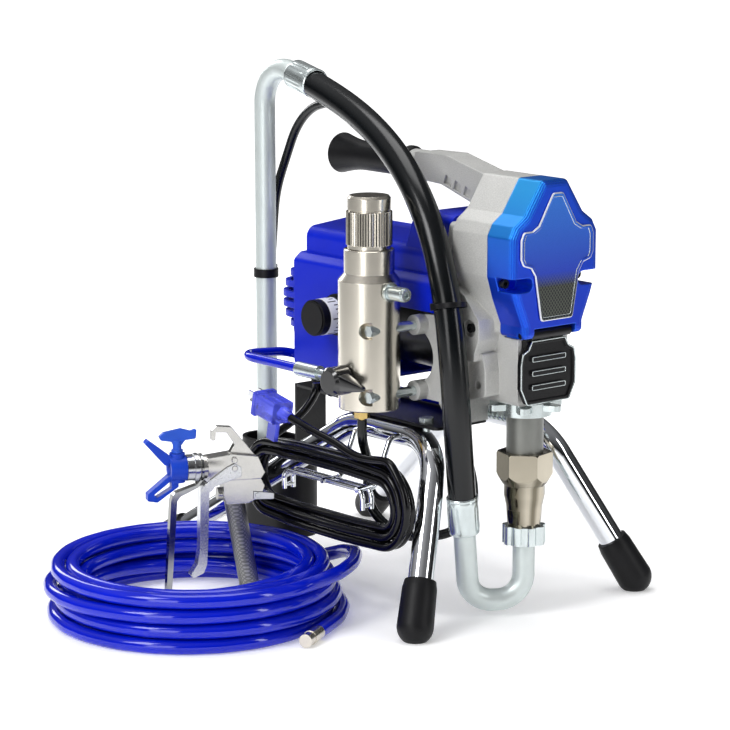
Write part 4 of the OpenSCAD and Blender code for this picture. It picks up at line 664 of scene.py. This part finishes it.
def coil_point(done):
    """Layers that wind inward and outward by turns, with half a turn of climb between them."""
    per, count = COIL["per_layer"], COIL["layers"]
    layer = min(count - 1, math.floor(done / per))
    within = done - layer * per
    inward = within if layer % 2 == 0 else per - within
    nearest = math.floor(done / per + 0.5)
    if 0 < nearest < count:
        step = min(0.5, max(-0.5, 2 * (done - nearest * per))) + nearest - 0.5
    else:
        step = 0 if nearest == 0 else count - 1
    return coil_place(COIL["r"] - COIL["pitch"] * inward - COIL["taper"] * step,
                      COIL["start"] + 360 * done, HOSE_D / 2 + COIL["layer"] * step)


coil_total = COIL["layers"] * COIL["per_layer"]
coil_steps = math.ceil(coil_total * COIL["rings"])
coil_loops = [coil_point(coil_total * i / coil_steps) for i in range(coil_steps + 1)]
coil_end = COIL["start"] + 360 * coil_total
top_step = COIL["layers"] - 1
top_r = COIL["r"] - COIL["taper"] * top_step
coil_tail = []
for i in range(1, COIL_TAIL["rings"] + 1):
    f = i / COIL_TAIL["rings"]
    out_share = min(1, COIL_TAIL["out_rate"] * f)
    down = max(0, (f - COIL_TAIL["level"]) / (1 - COIL_TAIL["level"]))
    coil_tail.append(coil_place(
        top_r + out_share * (COIL["pitch"] + COIL_TAIL["out"]), coil_end + COIL_TAIL["turn"] * f,
        HOSE_D / 2 + COIL["layer"] * top_step * (1 - down * down * (3 - 2 * down))))
coil_in = (coil_loops[1] - coil_loops[0]).normalized()
coil_flat = coil_tail[-1] - coil_tail[-2]
coil_out = Vector((coil_flat.x, coil_flat.y, 0)).normalized()
coil_first = coil_loops[0] - HOSE_D * coil_in
coil_last = coil_tail[-1] + HOSE_D * coil_out
hose_line = relaxed(evenly([coil_first] + coil_loops + coil_tail + [coil_last], HOSE_STEP), HOSE_EASING)
hose_points = [at(*p) for p in hose_line]
spray_hose = tube("spray_hose_coil", hose_points, HOSE_D / 2000, "blue_hose", sides=24)
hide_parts("spray_hose")

# ---------------------------------------------------------------- face panel trim
COVER_FRONT = 41.3
BEAD_X, INNER_X = COVER_FRONT + 1.7, COVER_FRONT + 2.0
BEAD_R, LINE_R = 0.0012, 0.0005
PANEL = [(6, 428), (24, 398), (33, 393), (44, 393), (47, 386), (47, 368), (44, 362), (34, 359),
         (28, 350), (20, 306)]
PANEL_MIDDLE = 367
INNER_WIDTH, INNER_HEIGHT = 0.93, 0.955

outline = rounded_corners(mirrored(PANEL), 3)
bead = [at(BEAD_X, p.x, p.y) for p in outline]
tube("panel_bead", bead, BEAD_R, "satin", cyclic=True)
inner = [at(INNER_X, p.x * INNER_WIDTH, PANEL_MIDDLE + (p.y - PANEL_MIDDLE) * INNER_HEIGHT)
         for p in outline]
tube("panel_inner_line", inner, LINE_R, "zinc", cyclic=True)

# ---------------------------------------------------------------- pump door trim
DOOR = [(22, 284), (26, 276), (34, 272), (36, 262), (36, 238), (28, 222)]
DOOR_X, LOUVRE_X = 32.7, 33.6
DOOR_RIM_R = 0.0008
LOUVRE_HALF_W, LOUVRE_H, LOUVRE_CORNER = 22, 4.5, 1.2
LOUVRES_Z = (236, 250, 264)


def door_trim(name, x, rim, radius):
    tube(name, [at(x, p.x, p.y) for p in rim], radius, "zinc", "pump_door", cyclic=True)


door_trim("door_rim", DOOR_X, rounded_corners(mirrored(DOOR), 2), DOOR_RIM_R)
for i, low in enumerate(LOUVRES_Z):
    high = low + LOUVRE_H
    bar = [(-LOUVRE_HALF_W, low), (LOUVRE_HALF_W, low), (LOUVRE_HALF_W, high), (-LOUVRE_HALF_W, high)]
    door_trim(f"door_louvre_rim_{i}", LOUVRE_X, rounded_corners(bar, LOUVRE_CORNER, 3), LINE_R)

# ---------------------------------------------------------------- knob band
KNOB_X, KNOB_Z, KNOB_R = -207, 284, 18.5
KNOB_FOOT_Y = -71.6
BAND_LOW, BAND_HIGH = 5, 21
BAND_INNER_R, BAND_OUTER_R = KNOB_R - 1, KNOB_R + 0.25
TICKS, LONG_EVERY = 24, 4
TICK_LOW, LONG_TICK, SHORT_TICK = 8, 10, 5
TICK_HALF_TURN = 0.03
TICK_RADII = (KNOB_R - 0.1, KNOB_R + 0.42)
BOX_FACES = [(0, 1, 2, 3), (4, 5, 6, 7), (0, 1, 5, 4), (1, 2, 6, 5), (2, 3, 7, 6), (3, 0, 4, 7)]

band = [(BAND_INNER_R, BAND_LOW), (BAND_OUTER_R, BAND_LOW), (BAND_OUTER_R, BAND_HIGH),
        (BAND_INNER_R, BAND_HIGH)]
turned("knob_band", band, at(KNOB_X, KNOB_FOOT_Y, KNOB_Z), (0, -1, 0), "white_band",
       72, body="pressure_knob")
for i in range(TICKS):
    a = 2 * math.pi * i / TICKS
    high = TICK_LOW + (SHORT_TICK if i % LONG_EVERY else LONG_TICK)
    corners = [(a - TICK_HALF_TURN, TICK_LOW), (a + TICK_HALF_TURN, TICK_LOW),
               (a + TICK_HALF_TURN, high), (a - TICK_HALF_TURN, high)]
    verts = [at(KNOB_X + r * math.cos(turn), KNOB_FOOT_Y - h, KNOB_Z + r * math.sin(turn))
             for r in TICK_RADII for turn, h in corners]
    mesh_piece(f"knob_tick_{i:02d}", verts, BOX_FACES, "black_plastic",
               "pressure_knob")

# ---------------------------------------------------------------- crimped ferrules
HOSE_R = 14
FERRULE_R = HOSE_R + 1.5
FERRULE_BORE = 12.2
FERRULE_END = 36.3
FERRULE_FROM = 64
CRIMP_DEPTH, CRIMP_SIDES, CRIMP_RAISED = 0.45, 8, 5
drop_corner = Vector((-388, -20, 530))
hose_top = Vector((-222, -36, 497))
drop_dir = (hose_top - drop_corner).normalized()
drop_end = drop_corner + FERRULE_FROM * drop_dir
hose_low = Vector((-10, -86, 258))
low_end = Vector((-22, -60, 92))
low_dir = (hose_low - low_end).normalized()

# (radius, height), with a third value where the crimps ripple it
FERRULE = [
    (FERRULE_BORE, -2.3), (FERRULE_R - 0.6, -2.3), (FERRULE_R, -1.2), (FERRULE_R, 2.5),
    (FERRULE_R - 0.35, 3.4, "crimped"), (FERRULE_R - 0.35, 26.5, "crimped"), (FERRULE_R, 27.5),
    (FERRULE_R, 32.6), (FERRULE_R - 0.2, 33), (FERRULE_R + 0.2, 33.6), (FERRULE_R + 0.2, 35.2),
    (FERRULE_R - 0.8, FERRULE_END), (HOSE_R + 0.1, FERRULE_END), (HOSE_R + 0.1, 0.2),
    (FERRULE_BORE, 0.2),
]


def crimp(i):
    return CRIMP_DEPTH if i % CRIMP_SIDES < CRIMP_RAISED else 0.0


upper = turned("ferrule_upper", FERRULE, at(*drop_end), drop_dir, "zinc", 112, crimp)
lower = turned("ferrule_lower", FERRULE, at(*low_end), low_dir, "zinc", 112, crimp)
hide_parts("hose_ferrules")
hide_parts("hose_ferrules")

# ---------------------------------------------------------------- suction hose
SUCTION_MIDDLE = [Vector((-104, -61, 451)), Vector((-24, -79, 358))]
SUCTION_INSET = 4
SUCTION_STEP = 5
SUCTION_EASING = 420
slack = [drop_end + SUCTION_INSET * drop_dir, hose_top, *SUCTION_MIDDLE, hose_low,
         low_end + SUCTION_INSET * low_dir]
suction_line = relaxed(evenly(slack, SUCTION_STEP), SUCTION_EASING)
suction_hose = tube("suction_hose_skin", [at(*p) for p in suction_line], HOSE_R / 1000, "black_hose",
                    sides=32)
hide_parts("suction_hose")

# ---------------------------------------------------------------- floor
# A white sweep under and behind the machine, on a pale studio floor.
FLOOR_HALF = 30
FLOOR_Z = -0.0002
PALE, WHITE_A, WHITE_B = (0.70, 0.70, 0.70), (0.90, 0.90, 0.905), (0.92, 0.92, 0.92)
PALE_GLOW = 0.10
SWEEP_HALF_W, SWEEP_WIDENS = 0.95, -0.16
right = Vector((math.cos(CAMERA_AZIMUTH), math.sin(CAMERA_AZIMUTH), 0))
near = Vector((math.sin(CAMERA_AZIMUTH), -math.cos(CAMERA_AZIMUTH), 0))

floor_mat, tree, shader = new_material("white_sweep")
place = tree.position()
nearness = tree.measure("DOT_PRODUCT", place, near)
from_middle = tree.maths("ABSOLUTE", tree.measure("DOT_PRODUCT", place, right))
sweep_half = tree.maths("MULTIPLY_ADD", nearness, SWEEP_WIDENS, SWEEP_HALF_W)
inside = tree.maths("SUBTRACT", sweep_half, from_middle)
white = tree.maths("MULTIPLY", tree.ramp(inside, -0.25, 0.15, 0, 1),
                   tree.ramp(nearness, 0.75, 1.15, 1, 0))
glow = tree.ramp(tree.measure("LENGTH", place), 0.25, 1.3, 0.30, 0.95)
tree.feed_all(shader, {
    "Base Color": tree.mix(white, PALE, tree.mix(tree.noise(place, 3), WHITE_A, WHITE_B)),
    "Emission Strength": tree.maths("MAXIMUM", tree.maths("MULTIPLY", glow, white), PALE_GLOW),
    "Emission Color": (1, 1, 1, 1),
    "Roughness": 0.75,
    "Specular IOR Level": 0.2,
})

floor_mesh = bpy.data.meshes.new("floor")
floor_mesh.from_pydata([(-FLOOR_HALF, -FLOOR_HALF, 0), (FLOOR_HALF, -FLOOR_HALF, 0),
                        (FLOOR_HALF, FLOOR_HALF, 0), (-FLOOR_HALF, FLOOR_HALF, 0)], [], [(0, 1, 2, 3)])
floor_mesh.materials.append(floor_mat)
floor = bpy.data.objects.new("floor", floor_mesh)
floor.location = (0, 0, FLOOR_Z)
bpy.context.scene.collection.objects.link(floor)

# ---------------------------------------------------------------- light
CENTRE = Vector((0, 0, 0.25))
# name, place from the centre (to the right, towards the camera, up), size, watts
LIGHTS = [
    ("key_softbox", (-1.5, 1.5, 1.6), (0.9, 1.3), 34),
    ("fill_softbox", (2.0, 1.2, 0.7), (0.35, 1.6), 12),
    ("front_card", (-1.1, 2.3, 0.35), (0.9, 1.2), 13),
    ("top_softbox", (0.0, -0.3, 2.3), (1.6, 1.6), 30),
    ("rim_softbox", (-1.2, -1.8, 1.1), (0.5, 1.4), 12),
]
for name, (to_right, to_camera, up), size, power in LIGHTS:
    data = bpy.data.lights.new(name, "AREA")
    data.shape = "RECTANGLE"
    data.size, data.size_y = size
    data.energy = power
    light = bpy.data.objects.new(name, data)
    light.location = CENTRE + right * to_right + near * to_camera + Vector((0, 0, up))
    light.rotation_euler = (CENTRE - light.location).to_track_quat("-Z", "Y").to_euler()
    bpy.context.scene.collection.objects.link(light)

# Dark low down and to the right, for the plated pieces to mirror, and pale where the camera sees it.
BACKDROP = 0.85
world = bpy.data.worlds.new("studio")
bpy.context.scene.world = world
tree = Tree(world)
background = tree.add("ShaderNodeBackground")
tree.feed(tree.add("ShaderNodeOutputWorld").inputs["Surface"], background.outputs["Background"])
direction = tree.add("ShaderNodeTexCoord").outputs["Generated"]
by_height = tree.ramp(tree.split(direction)[2], 0.15, 0.75, 0.05, 0.55)
by_side = tree.ramp(tree.measure("DOT_PRODUCT", direction, right), -0.7, 0.3, 1.0, 0.35)
seen = tree.maths("MULTIPLY", tree.add("ShaderNodeLightPath").outputs["Is Camera Ray"], BACKDROP)
tree.feed_all(background, {
    "Strength": tree.maths("MAXIMUM", tree.maths("MULTIPLY", by_height, by_side), seen),
    "Color": (1.0, 1.0, 1.02, 1),
})

bpy.context.scene.view_settings.view_transform = "Standard"
bpy.context.scene.view_settings.look = "None"
bpy.context.scene.view_settings.exposure = 0.0
